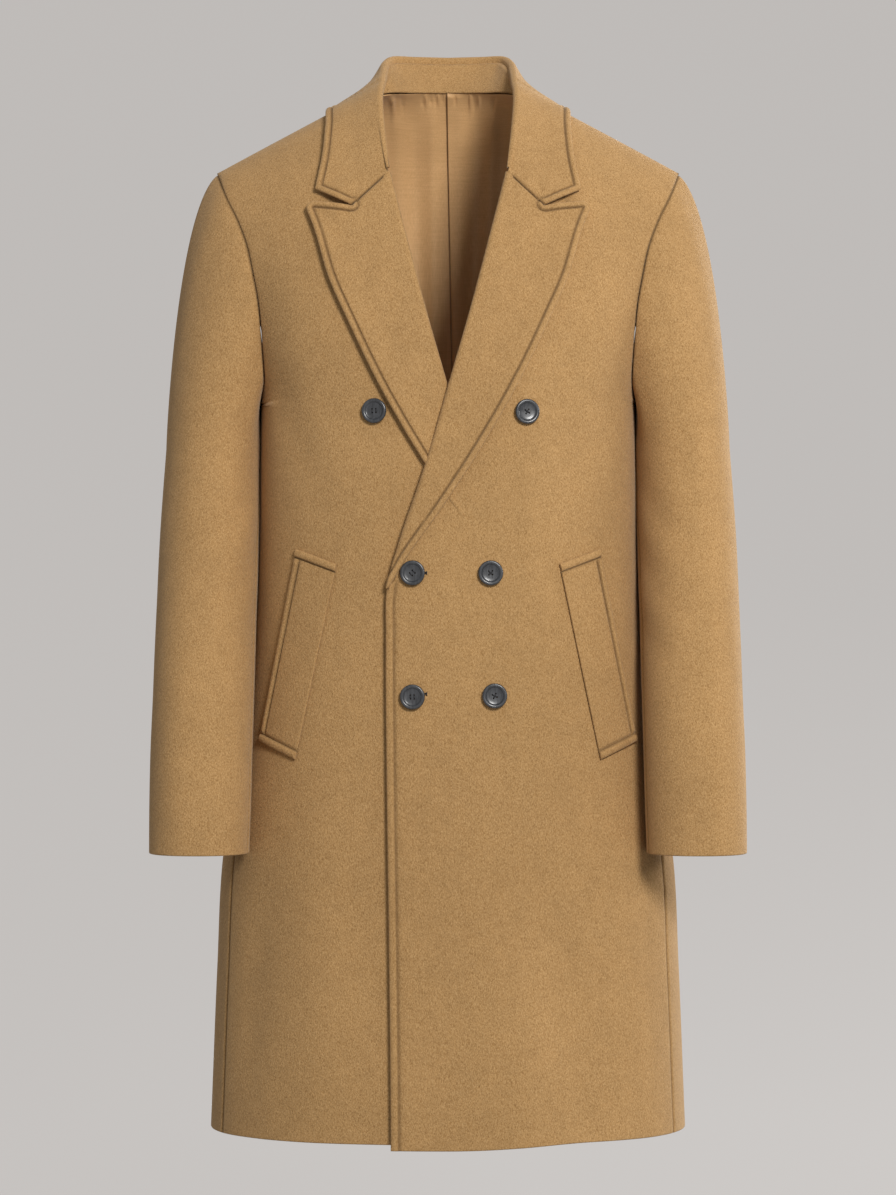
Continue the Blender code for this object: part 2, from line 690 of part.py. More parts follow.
def build_button(name, x, z, over, material):
    side = -1 if x < 0 and not over else 1
    place = on_front(x * side, z, LAYER / 2, over)
    normal = on_front(x * side, z, 1.0, over) - on_front(x * side, z, 0.0, over)
    place[0] *= side
    normal[0] *= side
    right = unit(np.cross(normal, (0, 0, 1)))
    up = np.cross(right, normal)
    mesh = bmesh.new()
    rings = []
    for share, height in BUTTON_PROFILE:
        turn = np.linspace(0, 2 * math.pi, BUTTON_SIDES, endpoint=False)[:, None]
        ring = place + normal * height + BUTTON_RADIUS * share * (right * np.cos(turn) + up * np.sin(turn))
        rings.append([mesh.verts.new(point) for point in ring])
    for outer, inner in zip(rings[1:], rings[:-1]):
        for k in range(BUTTON_SIDES):
            after = (k + 1) % BUTTON_SIDES
            mesh.faces.new((outer[k], outer[after], inner[after], inner[k]))
    mesh.faces.new(rings[0])
    mesh.faces.new(rings[-1][::-1])
    bmesh.ops.recalc_face_normals(mesh, faces=mesh.faces[:])
    finish_object(name, mesh, material)


def build():
    for item in list(bpy.data.objects):
        bpy.data.objects.remove(item)
    wool = make_material("camel_wool", WOOL, 0.9)
    satin = make_material("satin_lining", SATIN, 0.4)
    horn = make_material("dark_horn", HORN, 0.3)
    wall("front_left", front_grid(True), CLOTH, wool, at_shoulder=True)
    wall("front_right", front_grid(False), CLOTH, wool, mirrored=True, at_shoulder=True)
    wall("back", back_grid(), CLOTH, wool, at_shoulder=True)
    upper = sleeve_grid(BACK_SLEEVE_SEAM - 1, FRONT_SLEEVE_SEAM, SLEEVE_UPPER_COLUMNS)
    under = sleeve_grid(FRONT_SLEEVE_SEAM, BACK_SLEEVE_SEAM, SLEEVE_UNDER_COLUMNS)
    for side, mirrored in (("left", False), ("right", True)):
        wall(f"sleeve_{side}_upper", upper, CLOTH, wool, mirrored)
        wall(f"sleeve_{side}_under", under, CLOTH, wool, mirrored)
        wall(f"lapel_{side}", lapel_grid(not mirrored), CLOTH, wool, mirrored)
        wall(f"welt_{side}", welt_grid(not mirrored), WELT_CLOTH, wool, mirrored)
    wall("collar_fall", collar_grid(), COLLAR_CLOTH, wool)
    wall("collar_stand", stand_grid(), COLLAR_CLOTH, wool)
    lining, thickness = lining_walls()
    wall("lining_back", lining, thickness, satin)
    for name, x, z, over in BUTTONS:
        build_button(name, x, z, over, horn)


build()
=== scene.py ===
"""The looks of the double-breasted overcoat: cloth shells on its solids' form, their sewing, buttons and wool.

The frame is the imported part's: metres, +Z up, the front faces -Y and the wearer's left is at +X. The body's
surface, the sleeves' rings and the collar's fold are worked out from tables like those of the solids, a little
wider at the waist and the underarms. Each piece of cloth is a finer grid on them, which rolls at its free edges,
dips at its seams and carries soft folds. The left half is worked out, and the right one is its mirror image,
apart from the lap of the fronts and the folds.
"""

import json
import math

import bmesh
import bpy
import numpy as np
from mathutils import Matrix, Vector

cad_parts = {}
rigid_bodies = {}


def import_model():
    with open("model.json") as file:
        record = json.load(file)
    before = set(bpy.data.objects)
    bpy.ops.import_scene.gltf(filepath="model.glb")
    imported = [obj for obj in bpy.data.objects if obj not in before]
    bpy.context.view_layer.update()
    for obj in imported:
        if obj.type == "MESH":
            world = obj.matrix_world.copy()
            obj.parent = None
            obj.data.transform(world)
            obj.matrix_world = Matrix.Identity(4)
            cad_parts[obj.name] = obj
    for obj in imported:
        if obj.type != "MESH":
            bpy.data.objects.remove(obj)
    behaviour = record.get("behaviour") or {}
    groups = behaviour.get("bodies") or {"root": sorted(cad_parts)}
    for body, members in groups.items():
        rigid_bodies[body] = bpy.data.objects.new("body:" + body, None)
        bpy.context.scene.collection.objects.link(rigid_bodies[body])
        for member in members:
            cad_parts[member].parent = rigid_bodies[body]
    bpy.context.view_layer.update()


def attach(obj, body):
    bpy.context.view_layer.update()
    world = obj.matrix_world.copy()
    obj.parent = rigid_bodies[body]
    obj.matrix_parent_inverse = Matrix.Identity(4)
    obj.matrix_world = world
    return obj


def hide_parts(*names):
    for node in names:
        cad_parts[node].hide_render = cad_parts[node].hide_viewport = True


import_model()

# Driving dimensions
SIDES = ((True, "left", False), (False, "right", True))  # laps over, the wearer's side, mirrored
HEM_Z = -1.065
OVERLAP_HEM_DROP = 0.005  # how much lower the front that laps over ends
CHEST_Z = -0.32  # level of the underarms, where the upper body begins
CLOTH = 0.0026
COLLAR_CLOTH = 0.0024
WELT_CLOTH = 0.0024
LINING_CLOTH = 0.0012
SEAM = 0.0005  # gap between two pieces along a seam
LAYER = 0.0009  # gap between a piece and the panel it lies on
OVERLAP_LIFT = 0.0072  # how far the outer front stands off the inner front and its lapel
NECK_HALF = 0.078
SHOULDER_HALF = 0.238
SHOULDER_SLOPE = 0.538
RIDGE_ROUNDING = 0.02
UPPER_WIDENING = 0.085
UPPER_WIDENING_POWER = 1.3
FRONT_ARCH = (1.6, 1.6)  # rise and rounding of the chest up to the shoulder seam
BACK_ARCH = (3.2, 3.0)
HANG_SIDE = 0.94  # the side seam's place in the skirt, as a share of the half width
UNDERARM_DROP = 0.326
NAPE_Z = 0.0075
FOLD_RADIUS = 0.0042
CREST_CLEARANCE = 0.0044  # least height of the collar's fold above the body's surface
SLEEVE_POWER = 2.15
FRONT_SLEEVE_SEAM = 0.465  # share of the way round a sleeve, from its outside by the front
BACK_SLEEVE_SEAM = 0.715
SHOULDER_LEAVE = (0.74, 0.0, -0.67)  # direction in which the sleeve leaves the shoulder point
UNDERARM_LEAVE = (0.30, 0.0, -0.95)
SLEEVE_ARRIVE = (0.02, -0.12, -0.99)  # direction in which the sleeve cap runs into the first level ring
SLEEVE_SPREAD = 0.30  # how far the sleeve's front and back swell out of the armhole
CAP_CROWDING = 1.15
CAP_BENDS = (0.45, 0.95)  # how strongly the cap keeps its first and its last direction


# Level sections of the body below the underarms
TORSO_SECTIONS = (
    # z, half_width, front_depth, back_depth, power
    (-1.120, 0.2460, 0.168, 0.153, 2.30),
    (-1.065, 0.2436, 0.166, 0.151, 2.30),
    (-0.900, 0.2370, 0.160, 0.143, 2.32),
    (-0.793, 0.2316, 0.156, 0.137, 2.35),
    (-0.700, 0.2180, 0.152, 0.130, 2.42),
    (-0.600, 0.2040, 0.148, 0.122, 2.50),
    (-0.500, 0.1962, 0.145, 0.117, 2.60),
    (-0.400, 0.1930, 0.143, 0.120, 2.70),
    (-0.320, 0.1915, 0.140, 0.126, 2.70),
    (-0.250, 0.1900, 0.140, 0.126, 2.70),
)

# Edge of a front, from the hem up the opening, the roll line and the neckline
FRONT_EDGE = (
    # z, x, which is negative past the centre line
    (-1.120, -0.0565),
    (-1.040, -0.0569),
    (-0.842, -0.0592),
    (-0.700, -0.0612),
    (-0.560, -0.0620),
    (-0.518, -0.0614),
    (-0.498, -0.0578),
    (-0.473, -0.0502),
    (-0.377, -0.0188),
    (-0.308, 0.0010),
    (-0.243, 0.0195),
    (-0.160, 0.0413),
    (-0.093, 0.0580),
    (-0.050, 0.0672),
    (0.000, 0.0780),
)

# The armhole's front and back edges, from the shoulder point down
ARMHOLE = (
    # z, front_x, back_x
    (-0.1150, 0.2260, 0.2300),
    (-0.1400, 0.2137, 0.2200),
    (-0.1680, 0.2034, 0.2110),
    (-0.1950, 0.1975, 0.2045),
    (-0.2215, 0.1924, 0.1990),
    (-0.2730, 0.1880, 0.1915),
    (-0.3030, 0.1866, 0.1878),
)

# Level rings of the left sleeve, below the sleeve cap
SLEEVE_RINGS = (
    # z, centre_x, centre_y, half_width, half_depth
    (-0.372, 0.2395, -0.016, 0.0490, 0.0740),
    (-0.423, 0.2415, -0.026, 0.0503, 0.0715),
    (-0.475, 0.2434, -0.041, 0.0509, 0.0690),
    (-0.526, 0.2448, -0.058, 0.0510, 0.0665),
    (-0.576, 0.2459, -0.074, 0.0513, 0.0640),
    (-0.626, 0.2468, -0.088, 0.0514, 0.0615),
    (-0.676, 0.2480, -0.099, 0.0515, 0.0590),
    (-0.726, 0.2486, -0.107, 0.0511, 0.0565),
    (-0.779, 0.2493, -0.112, 0.0501, 0.0540),
)

# Crest of the collar's fold, from the middle of the back to the top of the roll line. The cloth turns over it
# from start_turn, inside the neck, to end_turn, outside, both in degrees, and reaches inside_depth down inside.
COLLAR_FOLD = (
    # x, y, z, start_turn, end_turn, inside_depth
    (0.0000, 0.0900, 0.0445, 180, 14, 0.0065),
    (0.0350, 0.0870, 0.0450, 180, 16, 0.0065),
    (0.0580, 0.0750, 0.0440, 180, 28, 0.0065),
    (0.0665, 0.0530, 0.0360, 178, 42, 0.0060),
    (0.0682, 0.0260, 0.0235, 175, 52, 0.0055),
    (0.0688, -0.0010, 0.0105, 170, 60, 0.0050),
    (0.0699, -0.0300, -0.0115, 165, 66, 0.0040),
    (0.0679, -0.0600, -0.0440, 155, 70, 0.0030),
    (0.0637, -0.0800, -0.0756, 140, 74, 0.0020),
    (0.0610, -0.0885, -0.0885, 125, 76, 0.0008),
)

# Outer edge of the collar, from the middle of the back to the tip of the leaf
COLLAR_EDGE = (
    # x, y, z
    (0.0000, 0.1000, -0.0130),
    (0.0450, 0.0970, -0.0130),
    (0.0850, 0.0830, -0.0130),
    (0.1060, 0.0640, -0.0130),
    (0.1170, 0.0430, -0.0150),
    (0.1225, 0.0120, -0.0210),
    (0.1251, -0.0330, -0.0413),
    (0.1274, -0.0580, -0.0737),
    (0.1339, -0.0760, -0.1085),
)

# Places on the front, in x and z
GORGE_START = (0.0585, -0.0932)
GORGE_END = (0.0965, -0.1288)
LEAF_TIP = (0.1334, -0.1122)
LAPEL_SHOULDER = (0.1357, -0.1243)
LAPEL_TIP = (0.1433, -0.1300)

# Height of a shoulder seam's neck end
NECK_TOP = -SHOULDER_SLOPE * (math.hypot(NECK_HALF, RIDGE_ROUNDING) - NECK_HALF)

# Half of the back neck seam, from the nape to the shoulder seam
NECK_SEAM = (
    # x, z
    (0.0000, NAPE_Z),
    (0.0400, 0.0060),
    (0.0660, 0.0030),
    (0.0780, NECK_TOP),
)

# Lapel's outer edge, from its tip down to the break
LAPEL_OUTER = (
    # z, x
    (-0.1300, 0.1433),
    (-0.1428, 0.1378),
    (-0.2087, 0.1168),
    (-0.2405, 0.1025),
    (-0.3063, 0.0712),
    (-0.3724, 0.0339),
    (-0.4381, -0.0089),
    (-0.4798, -0.0385),
    (-0.5140, -0.0590),
)

# Corners of a pocket welt, from its upper inner corner round to its lower inner one
WELT_CORNERS = (
    # x, z
    (0.1103, -0.4896),
    (0.1506, -0.4743),
    (0.1881, -0.6682),
    (0.1516, -0.6852),
)

# Edges, seams and stitches
PLAIN = (0.0, 0.0003, 0.0008, 0.0016, 0.0035, 0.007, 0.012)  # distances of rows from a rolled edge
SEAMED = (0.0, 0.0005, 0.0012, 0.0022, 0.0036, 0.006)
STITCHED = (
    *(0.0, 0.0003, 0.0008, 0.0015, 0.0025, 0.0037, 0.0048),
    *(0.0057, 0.0063, 0.0068, 0.0073, 0.008, 0.0092, 0.0115),
)
EDGE_ROUNDING = 0.46  # radius of a rolled edge, as a share of the cloth's thickness
GROOVE_AT = 0.0068  # distance of the topstitching from the edge
FRONT_GROOVE_AT = 0.0084
GROOVE_DEPTH = 0.0018
GROOVE_WIDTH = 0.0009
EDGE_PUFF = 0.0013
SEAM_DIP = 0.0017
SEAM_DIP_WIDTH = 0.0036
EDGE_LIFT = 0.0038  # how far the free edges of the collar and the lapels stand off the coat
BACK_LIFT = 0.0010  # and the collar's edge round the back
LIFT_SIDEWAYS = 0.3  # weight of the normals' x and z in the lift's direction
ARMHOLE_DIP = 0.0003  # of the seams round the armhole and along the shoulder, which lie almost flush
# Painted shade: the cloth's colour is darkened towards a dark brown in its grooves and along its seams and
# stitches, where shade falls; its width, strength and colour follow
PAINTED_SHADE_WIDTH = 0.0011  # of the painted shade that lies in a groove or along a seam
CREASE_PAINTED_SHADE = 0.62
PAINTED_SHADE_COLOUR = (0.02, 0.01, 0.004, 1)
# strength of the painted shade in a topstitched groove
STITCH_PAINTED_SHADE = 0.8
# A hollow of the front under the notch: path in x and z, half width, rise
NOTCH_PIT = (((0.0975, -0.1290), (0.1090, -0.1250), (0.1210, -0.1205)), 0.0075, -0.0050)
# painted shade in the hollow under the notch, at its deepest
PIT_PAINTED_SHADE = 0.75
LIFT_REACH = 0.034  # how far in from a free edge the lift fades out
LIFT_START = 0.022  # length of edge over which the lift sets in beside the gorge
LAPEL_LIFT_START = 0.11
TURN_IN = ((0.0010, 0.0012), (0.0022, 0.0030))  # how far the sleeve's top turns in under the armhole's edge
STITCH_PITCH = 0.0034
STITCH_LENGTH = 0.0021
THREAD_RADIUS = 0.0003
ROLL_RADIUS = LAYER + 1.5 * CLOTH  # of the lapel's outer surface where it turns over the front's edge
BREAK_Z = -0.5140
TIP_RADIUS = 0.0055
GORGE_BEND = 0.11
LEAF_BEND = 0.075
FACING_WIDTH = 0.03
WELT_BAND = 0.0085
WELT_PUFF = 1.2  # how much fuller the bands at a welt's ends are than other edges
WELT_BLEND = 0.002
WELT_LAYERS = 1.2  # gap under a welt, in layers
WELT_SIZE = (0.043, 0.19)  # rough width and length of a welt, by which its edge rows are spaced
STAND_HEIGHT = 0.026  # rough height of the stand, by which its edge rows are spaced

# How finely the pieces are divided
FRONT_COLUMNS = 66
BACK_COLUMNS = 60
LOWER_ROWS = 130
UPPER_ROWS = 64
CAP_ROWS = 40
SLEEVE_ROWS = 70
SLEEVE_UPPER_COLUMNS = 72
SLEEVE_UNDER_COLUMNS = 36
LAPEL_ROWS = 130
LAPEL_COLUMNS = 44
ROLL_STEPS = 13
FACING_STEPS = 5
COLLAR_COLUMNS = 110
FOLD_STEPS = 13
FALL_STEPS = 34
STAND_COLUMNS = 90
STAND_ROWS = 16
STAND_REACH = 0.72  # share of the collar round which its stand runs
STAND_DEPTH = 0.0058  # of the stand's foot inside the coat's outer surface
STAND_DROP = 0.0036
STAND_TUCK = (0.0027, 0.0030)  # how far its top goes back and up behind the collar's inside edge
STAND_SHY = 0.0065  # how far it draws back under the roll at the sides of the neck
STAND_STITCHES = 0.0020  # distance of its stitches from its top edge
STAND_SEWING = (0.0026, 0.0015, 0.00033)  # their pitch, length and thread radius
WELT_ROWS = 60
WELT_COLUMNS = 14
DENSE = 220
CROWDING = 1.9  # how strongly the rows of the upper body crowd towards the shoulder seam
END_EASE = 12  # how late along a row, or up the chest, it bends to meet its end

# Soft folds of the body's front: path in x and z, half width, rise, which is negative in a trough
FRONT_FOLDS = (
    (((0.074, -0.345), (0.062, -0.46), (0.040, -0.585)), 0.020, -0.0014),
    (((0.050, -0.660), (0.085, -0.82), (0.118, -0.95), (0.150, -1.07)), 0.034, -0.0042),
    (((0.010, -0.760), (0.030, -0.90), (0.055, -1.07)), 0.034, 0.0026),
    (((0.165, -0.800), (0.190, -0.93), (0.205, -1.07)), 0.026, 0.0026),
    (((-0.085, -0.660), (-0.082, -0.85), (-0.075, -1.07)), 0.026, -0.0024),
    (((-0.125, -0.720), (-0.135, -0.90), (-0.142, -1.07)), 0.030, 0.0026),
    (((-0.178, -0.780), (-0.196, -0.93), (-0.204, -1.07)), 0.022, -0.0026),
    (((0.175, -0.290), (0.150, -0.36), (0.118, -0.42)), 0.018, -0.0016),
    (((-0.176, -0.300), (-0.150, -0.37), (-0.120, -0.44)), 0.020, -0.0020),
    (((0.165, -0.200), (0.152, -0.27), (0.128, -0.34)), 0.024, 0.0016),
    (((-0.168, -0.190), (-0.155, -0.26), (-0.135, -0.34)), 0.022, 0.0014),
)

# Soft folds of the back
BACK_FOLDS = (
    (((-0.030, -0.420), (-0.045, -0.62), (-0.060, -0.85), (-0.075, -1.07)), 0.030, -0.0048),
    (((0.045, -0.460), (0.062, -0.66), (0.085, -0.88), (0.100, -1.07)), 0.034, -0.0050),
    (((0.005, -0.520), (0.008, -0.75), (0.012, -1.07)), 0.030, 0.0034),
    (((-0.130, -0.600), (-0.150, -0.82), (-0.165, -1.07)), 0.032, 0.0036),
    (((0.150, -0.640), (0.165, -0.85), (0.182, -1.07)), 0.028, 0.0032),
    (((-0.165, -0.285), (-0.120, -0.37), (-0.060, -0.42)), 0.022, -0.0034),
    (((0.168, -0.295), (0.125, -0.385), (0.070, -0.44)), 0.022, -0.0030),
    (((-0.170, -0.350), (-0.125, -0.45), (-0.075, -0.50)), 0.020, -0.0022),
    (((0.150, -0.120), (0.162, -0.22), (0.165, -0.31)), 0.020, -0.0024),
    (((-0.150, -0.125), (-0.162, -0.22), (-0.165, -0.31)), 0.022, -0.0028),
    (((-0.060, -0.030), (0.000, -0.042), (0.060, -0.030)), 0.014, -0.0012),
)

# Soft folds of a sleeve: path in shares of the way round and z, half width, rise on the left, rise on the right
SLEEVE_FOLDS = (
    (((0.42, -0.400), (0.33, -0.452), (0.22, -0.485)), 0.016, -0.0024, -0.0018),
    (((0.45, -0.470), (0.35, -0.515), (0.24, -0.535)), 0.015, -0.0020, -0.0024),
    (((0.47, -0.540), (0.37, -0.575), (0.27, -0.590)), 0.017, -0.0016, -0.0012),
    (((0.40, -0.435), (0.30, -0.480), (0.20, -0.510)), 0.014, 0.0012, 0.0010),
    (((0.62, -0.420), (0.72, -0.470), (0.83, -0.480)), 0.020, -0.0026, -0.0022),
    (((0.60, -0.500), (0.72, -0.545), (0.84, -0.560)), 0.020, -0.0022, -0.0026),
    (((0.05, -0.480), (0.04, -0.600), (0.06, -0.740)), 0.024, -0.0016, -0.0010),
    (((0.20, -0.600), (0.18, -0.680), (0.19, -0.770)), 0.020, 0.0014, 0.0018),
    (((0.90, -0.380), (0.92, -0.520), (0.90, -0.680)), 0.024, 0.0014, -0.0014),
)

# Soft vertical folds of the lining: x at the neck, lean, half width, rise
LINING_FOLDS = (
    (-0.0570, -0.05, 0.0085, 0.0026),
    (-0.0370, -0.03, 0.0080, -0.0018),
    (-0.0170, -0.01, 0.0075, 0.0026),
    (0.0150, 0.02, 0.0070, 0.0016),
    (0.0330, 0.03, 0.0080, -0.0018),
    (0.0500, 0.05, 0.0070, 0.0022),
    (0.0800, 0.10, 0.0120, 0.0030),
    (-0.0850, -0.10, 0.0120, 0.0030),
    (-0.1150, -0.12, 0.0120, -0.0018),
    (0.1150, 0.12, 0.0120, -0.0018),
)
LINING_FULLNESS = 0.0022
LINING_EASE = 0.0012  # how far the lining keeps clear of the wool's troughs
LINING_LOOK = (-0.014, -0.007, 0, 0.007, 0.014)  # sideways places at which it looks for them
LINING_WIDE = 0.075  # half width over which the lining's columns run close together
LINING_TRIM = 0.012

# Small gathers of the lining under the neck seam: x, half width, rise, reach
LINING_GATHERS = (
    (-0.0590, 0.0026, 0.0026, 0.014),
    (-0.0480, 0.0018, -0.0016, 0.009),
    (-0.0270, 0.0013, -0.0020, 0.0050),
    (-0.0235, 0.0012, 0.0016, 0.0060),
    (-0.0185, 0.0012, -0.0020, 0.0045),
    (-0.0135, 0.0011, -0.0018, 0.0060),
    (-0.0100, 0.0011, 0.0014, 0.0060),
    (-0.0060, 0.0010, -0.0018, 0.0040),
    (0.0080, 0.0012, -0.0016, 0.0050),
    (0.0240, 0.0013, 0.0018, 0.0100),
    (0.0280, 0.0012, -0.0022, 0.0080),
    (0.0330, 0.0012, 0.0012, 0.0060),
    (0.0480, 0.0020, -0.0016, 0.0090),
)
PLEAT_DEPTH = 0.0032
PLEAT_FADE = 0.026
PLEAT_X = -0.0009  # the centre pleat's place at the neck seam
PLEAT_LEAN = -0.0206
# strength of the painted shadow beside the centre pleat's fold
PLEAT_PAINTED_SHADOW = 0.75
PLEAT_SHADOW_LINE = (0.0007, 0.0009)  # the pleat's painted shadow line: how far it lies towards -X, and its half width

# Buttons
BUTTON_RADIUS = 0.0125
BUTTON_SIDES = 64
BUTTON_LIFT = 0.0011
FACE_HEIGHT = 0.0024
HOLE_OFFSET = 0.00185
HOLE_RADIUS = 0.00082
BUTTON_PROFILE = (
    # share_of_radius, height
    (0.000, 0.0022),
    (0.400, 0.0024),
    (0.620, 0.0026),
    (0.665, 0.0028),
    (0.700, 0.0034),
    (0.740, 0.0039),
    (0.800, 0.0042),
    (0.870, 0.0043),
    (0.930, 0.0041),
    (0.975, 0.0036),
    (1.000, 0.0028),
    (1.000, 0.0018),
    (0.960, 0.0010),
    (0.850, 0.0004),
    (0.600, 0.0000),
    (0.000, 0.0000),
)
BUTTONS = (
    # name, x, z, on the front that laps over, turn in degrees, crossed thread
    ("button_top_left", 0.0782, -0.3382, True, 12, True),
    ("button_top_right", -0.0732, -0.3372, False, 4, False),
    ("button_middle_left", 0.0422, -0.4987, True, 3, True),
    ("button_middle_right", -0.0352, -0.4987, True, 45, False),
    ("button_low_left", 0.0461, -0.6207, True, 20, True),
    ("button_low_right", -0.0352, -0.6217, True, 2, False),
)
BUTTONHOLES = ((-0.0232, -0.4987), (-0.0232, -0.6187))
BUTTONHOLE_LENGTH = 0.0022
BUTTONHOLE_STITCHES = 5

# Colours
WOOL_LIGHT = (0.60, 0.375, 0.170)
WOOL_MIDDLE = (0.425, 0.240, 0.092)
WOOL_DARK = (0.285, 0.152, 0.053)
WOOL_BUMP = 0.7
SATIN_LIGHT = (0.74, 0.455, 0.215)
SATIN_DARK = (0.60, 0.345, 0.145)
HORN_LIGHT = (0.060, 0.064, 0.072)
HORN_DARK = (0.020, 0.022, 0.026)
THREAD_LIGHT = (0.27, 0.15, 0.055)
THREAD_DARK = (0.17, 0.09, 0.03)

# Studio, and the camera, which stands where the photograph was taken from
FLOOR_Z = -1.30
STUDIO_RADIUS = 8.5
SWEEP = 6.5
STUDIO_HEIGHT = 5.6
STUDIO_PAINT = (0.024, 0.023, 0.022)
STUDIO_GLOW = (0.500, 0.478, 0.462)
WORLD_COLOUR = (1.0, 0.99, 0.98)
WORLD_STRENGTH = 0.33
LIGHTS = (
    # name, place, height of its target, diameter, power, colour
    ("key", (1.4, -3.7, 1.35), -0.5, 1.2, 142.0, (1.0, 0.985, 0.96)),
    ("side", (4.1, 0.7, 0.5), -0.5, 1.3, 60.0, (1.0, 1.0, 1.0)),
    ("top", (0.4, 0.6, 3.0), -0.3, 2.2, 12.0, (1.0, 1.0, 1.0)),
    ("rear", (2.2, 3.4, 1.1), -0.5, 1.6, 110.0, (1.0, 1.0, 1.0)),
)
SENSOR = 36.0
PHOTO_HEIGHT = 1195
FOCAL_PIXELS = 4080
CAMERA_DISTANCE = 4.2
CAMERA_Z = -0.523


# ---- Curves


def smooth_table(table, key):
    """A function of a table's first column that reads another of its columns along a smooth curve."""
    rows = np.array(sorted(table, key=lambda row: row[0]), dtype=float)
    keys = rows[:, 0]
    slopes = np.gradient(rows[:, key], keys)

    def read(at):
        at = np.clip(np.asarray(at, dtype=float), keys[0], keys[-1])
        cell = np.clip(np.searchsorted(keys, at) - 1, 0, len(keys) - 2)
        width = keys[cell + 1] - keys[cell]
        t = (at - keys[cell]) / width
        start, end = rows[cell, key], rows[cell + 1, key]
        ease = t * t * (3 - 2 * t)
        bend = t * (1 - t) * (1 - t) * slopes[cell] - t * t * (1 - t) * slopes[cell + 1]
        return start + (end - start) * ease + bend * width

    return read


half_width_at = smooth_table(TORSO_SECTIONS, 1)
front_depth_at = smooth_table(TORSO_SECTIONS, 2)
back_depth_at = smooth_table(TORSO_SECTIONS, 3)
power_at = smooth_table(TORSO_SECTIONS, 4)
front_edge_at = smooth_table(FRONT_EDGE, 1)
lapel_outer_at = smooth_table(LAPEL_OUTER, 1)


def smooth_step(start, end, at):
    t = np.clip((at - start) / (end - start), 0.0, 1.0)
    return t * t * (3 - 2 * t)


def unit(vectors):
    return vectors / np.linalg.norm(vectors, axis=-1, keepdims=True)


def lengths(curve):
    steps = np.linalg.norm(np.diff(curve, axis=0), axis=1)
    return np.concatenate([[0], np.cumsum(steps)])


def at_shares(curve, shares):
    """Points at shares of a curve's length."""
    along = lengths(curve)
    at = np.asarray(shares, dtype=float) * along[-1]
    return np.stack([np.interp(at, along, curve[:, k]) for k in range(curve.shape[1])], axis=1)


def spline(points, count=DENSE):
    """A smooth curve through points, as evenly spaced points."""
    points = np.array(points, dtype=float)
    along = lengths(points)
    table = [(along[i], *points[i]) for i in range(len(points))]
    at = np.linspace(0, along[-1], count * 4)
    curve = np.stack([smooth_table(table, k + 1)(at) for k in range(points.shape[1])], axis=1)
    return at_shares(curve, np.linspace(0, 1, count))


# ---- The body's surface


def ridge_z(x):
    """Height of the shoulder seam over x."""
    return -SHOULDER_SLOPE * (np.sqrt(np.square(x) + RIDGE_ROUNDING**2) - NECK_HALF)


def section(x, z, depth_at, arch):
    """Distance of the body's surface from the plane y = 0 at x and z."""
    x, z = np.broadcast_arrays(np.asarray(x, dtype=float), np.asarray(z, dtype=float))
    top = ridge_z(x)
    share = np.clip((top - z) / (top - CHEST_Z), 0.0, 1.0)  # 0 at the shoulder seam, 1 at the chest
    level = np.minimum(z, CHEST_Z)
    width = half_width_at(level) + UPPER_WIDENING * (1 - share) ** UPPER_WIDENING_POWER
    power = power_at(level)
    across = np.clip(1 - (np.abs(x) / width) ** power, 0.0, 1.0) ** (1 / power)
    rise, rounding = arch
    return depth_at(level) * across * (1 - (1 - share) ** rise) ** (1 / rounding)


def front_y(x, z, over=False):
    """The front's outer surface; the front that laps over stands off the one beneath it near the centre."""
    y = -section(x, z, front_depth_at, FRONT_ARCH)
    if over:
        near_centre = 1 - smooth_step(0.070, 0.135, np.asarray(x, dtype=float))
        below_neck = 1 - smooth_step(-0.300, -0.200, np.asarray(z, dtype=float))
        y = y - OVERLAP_LIFT * near_centre * below_neck
    return y


def back_y(x, z):
    return section(x, z, back_depth_at, BACK_ARCH)


def torso_ring(z, start, end):
    """Part of the level ring at z, between two angles: 0 is the centre front, a quarter turn the side."""
    angles = np.linspace(start, end, DENSE)
    power = power_at(z)
    x = half_width_at(z) * np.abs(np.sin(angles)) ** (2 / power)
    depth = np.where(np.cos(angles) > 0, -front_depth_at(z), back_depth_at(z))
    y = depth * np.abs(np.cos(angles)) ** (2 / power)
    return np.stack([x, y, np.full(DENSE, z)], axis=1)


def side_seam_angle(z):
    """Angle of the side seam, which comes forward in the skirt."""
    share = HANG_SIDE + (1 - HANG_SIDE) * smooth_step(-0.80, -0.40, z)
    return math.asin(share ** (power_at(z) / 2))


def on_front(x, z, out=0.0, over=False, step=0.001):
    """Points of the front's outer surface at x and z, moved out along its normal."""
    x, z = np.broadcast_arrays(np.asarray(x, dtype=float), np.asarray(z, dtype=float))
    y = front_y(x, z, over)
    slope_x = (front_y(x + step, z, over) - front_y(x - step, z, over)) / (2 * step)
    slope_z = (front_y(x, z + step, over) - front_y(x, z - step, over)) / (2 * step)
    normal = np.stack([slope_x, -np.ones_like(x), slope_z], axis=-1)
    normal /= np.linalg.norm(normal, axis=-1, keepdims=True)
    return np.stack([x, y, z], axis=-1) + normal * np.asarray(out)[..., None]


def upper_level(points):
    """0 on the surface of the upper body, above 0 outside it."""
    x, y, z = np.moveaxis(points, -1, 0)
    top = ridge_z(x)
    climb = np.clip((z - CHEST_Z) / (top - CHEST_Z), 0.0, None)
    share = np.clip(1 - climb, 0.0, 1.0)
    width = half_width_at(CHEST_Z) + UPPER_WIDENING * (1 - share) ** UPPER_WIDENING_POWER
    power = power_at(CHEST_Z)
    across = np.clip(1 - (np.abs(x) / width) ** power, 0.001, 1.0) ** (1 / power)
    in_front = y < 0
    depth = np.where(in_front, front_depth_at(CHEST_Z), back_depth_at(CHEST_Z)) * across
    rise = np.where(in_front, FRONT_ARCH[0], BACK_ARCH[0])
    rounding = np.where(in_front, FRONT_ARCH[1], BACK_ARCH[1])
    return (np.abs(y) / depth) ** rounding + climb**rise - 1


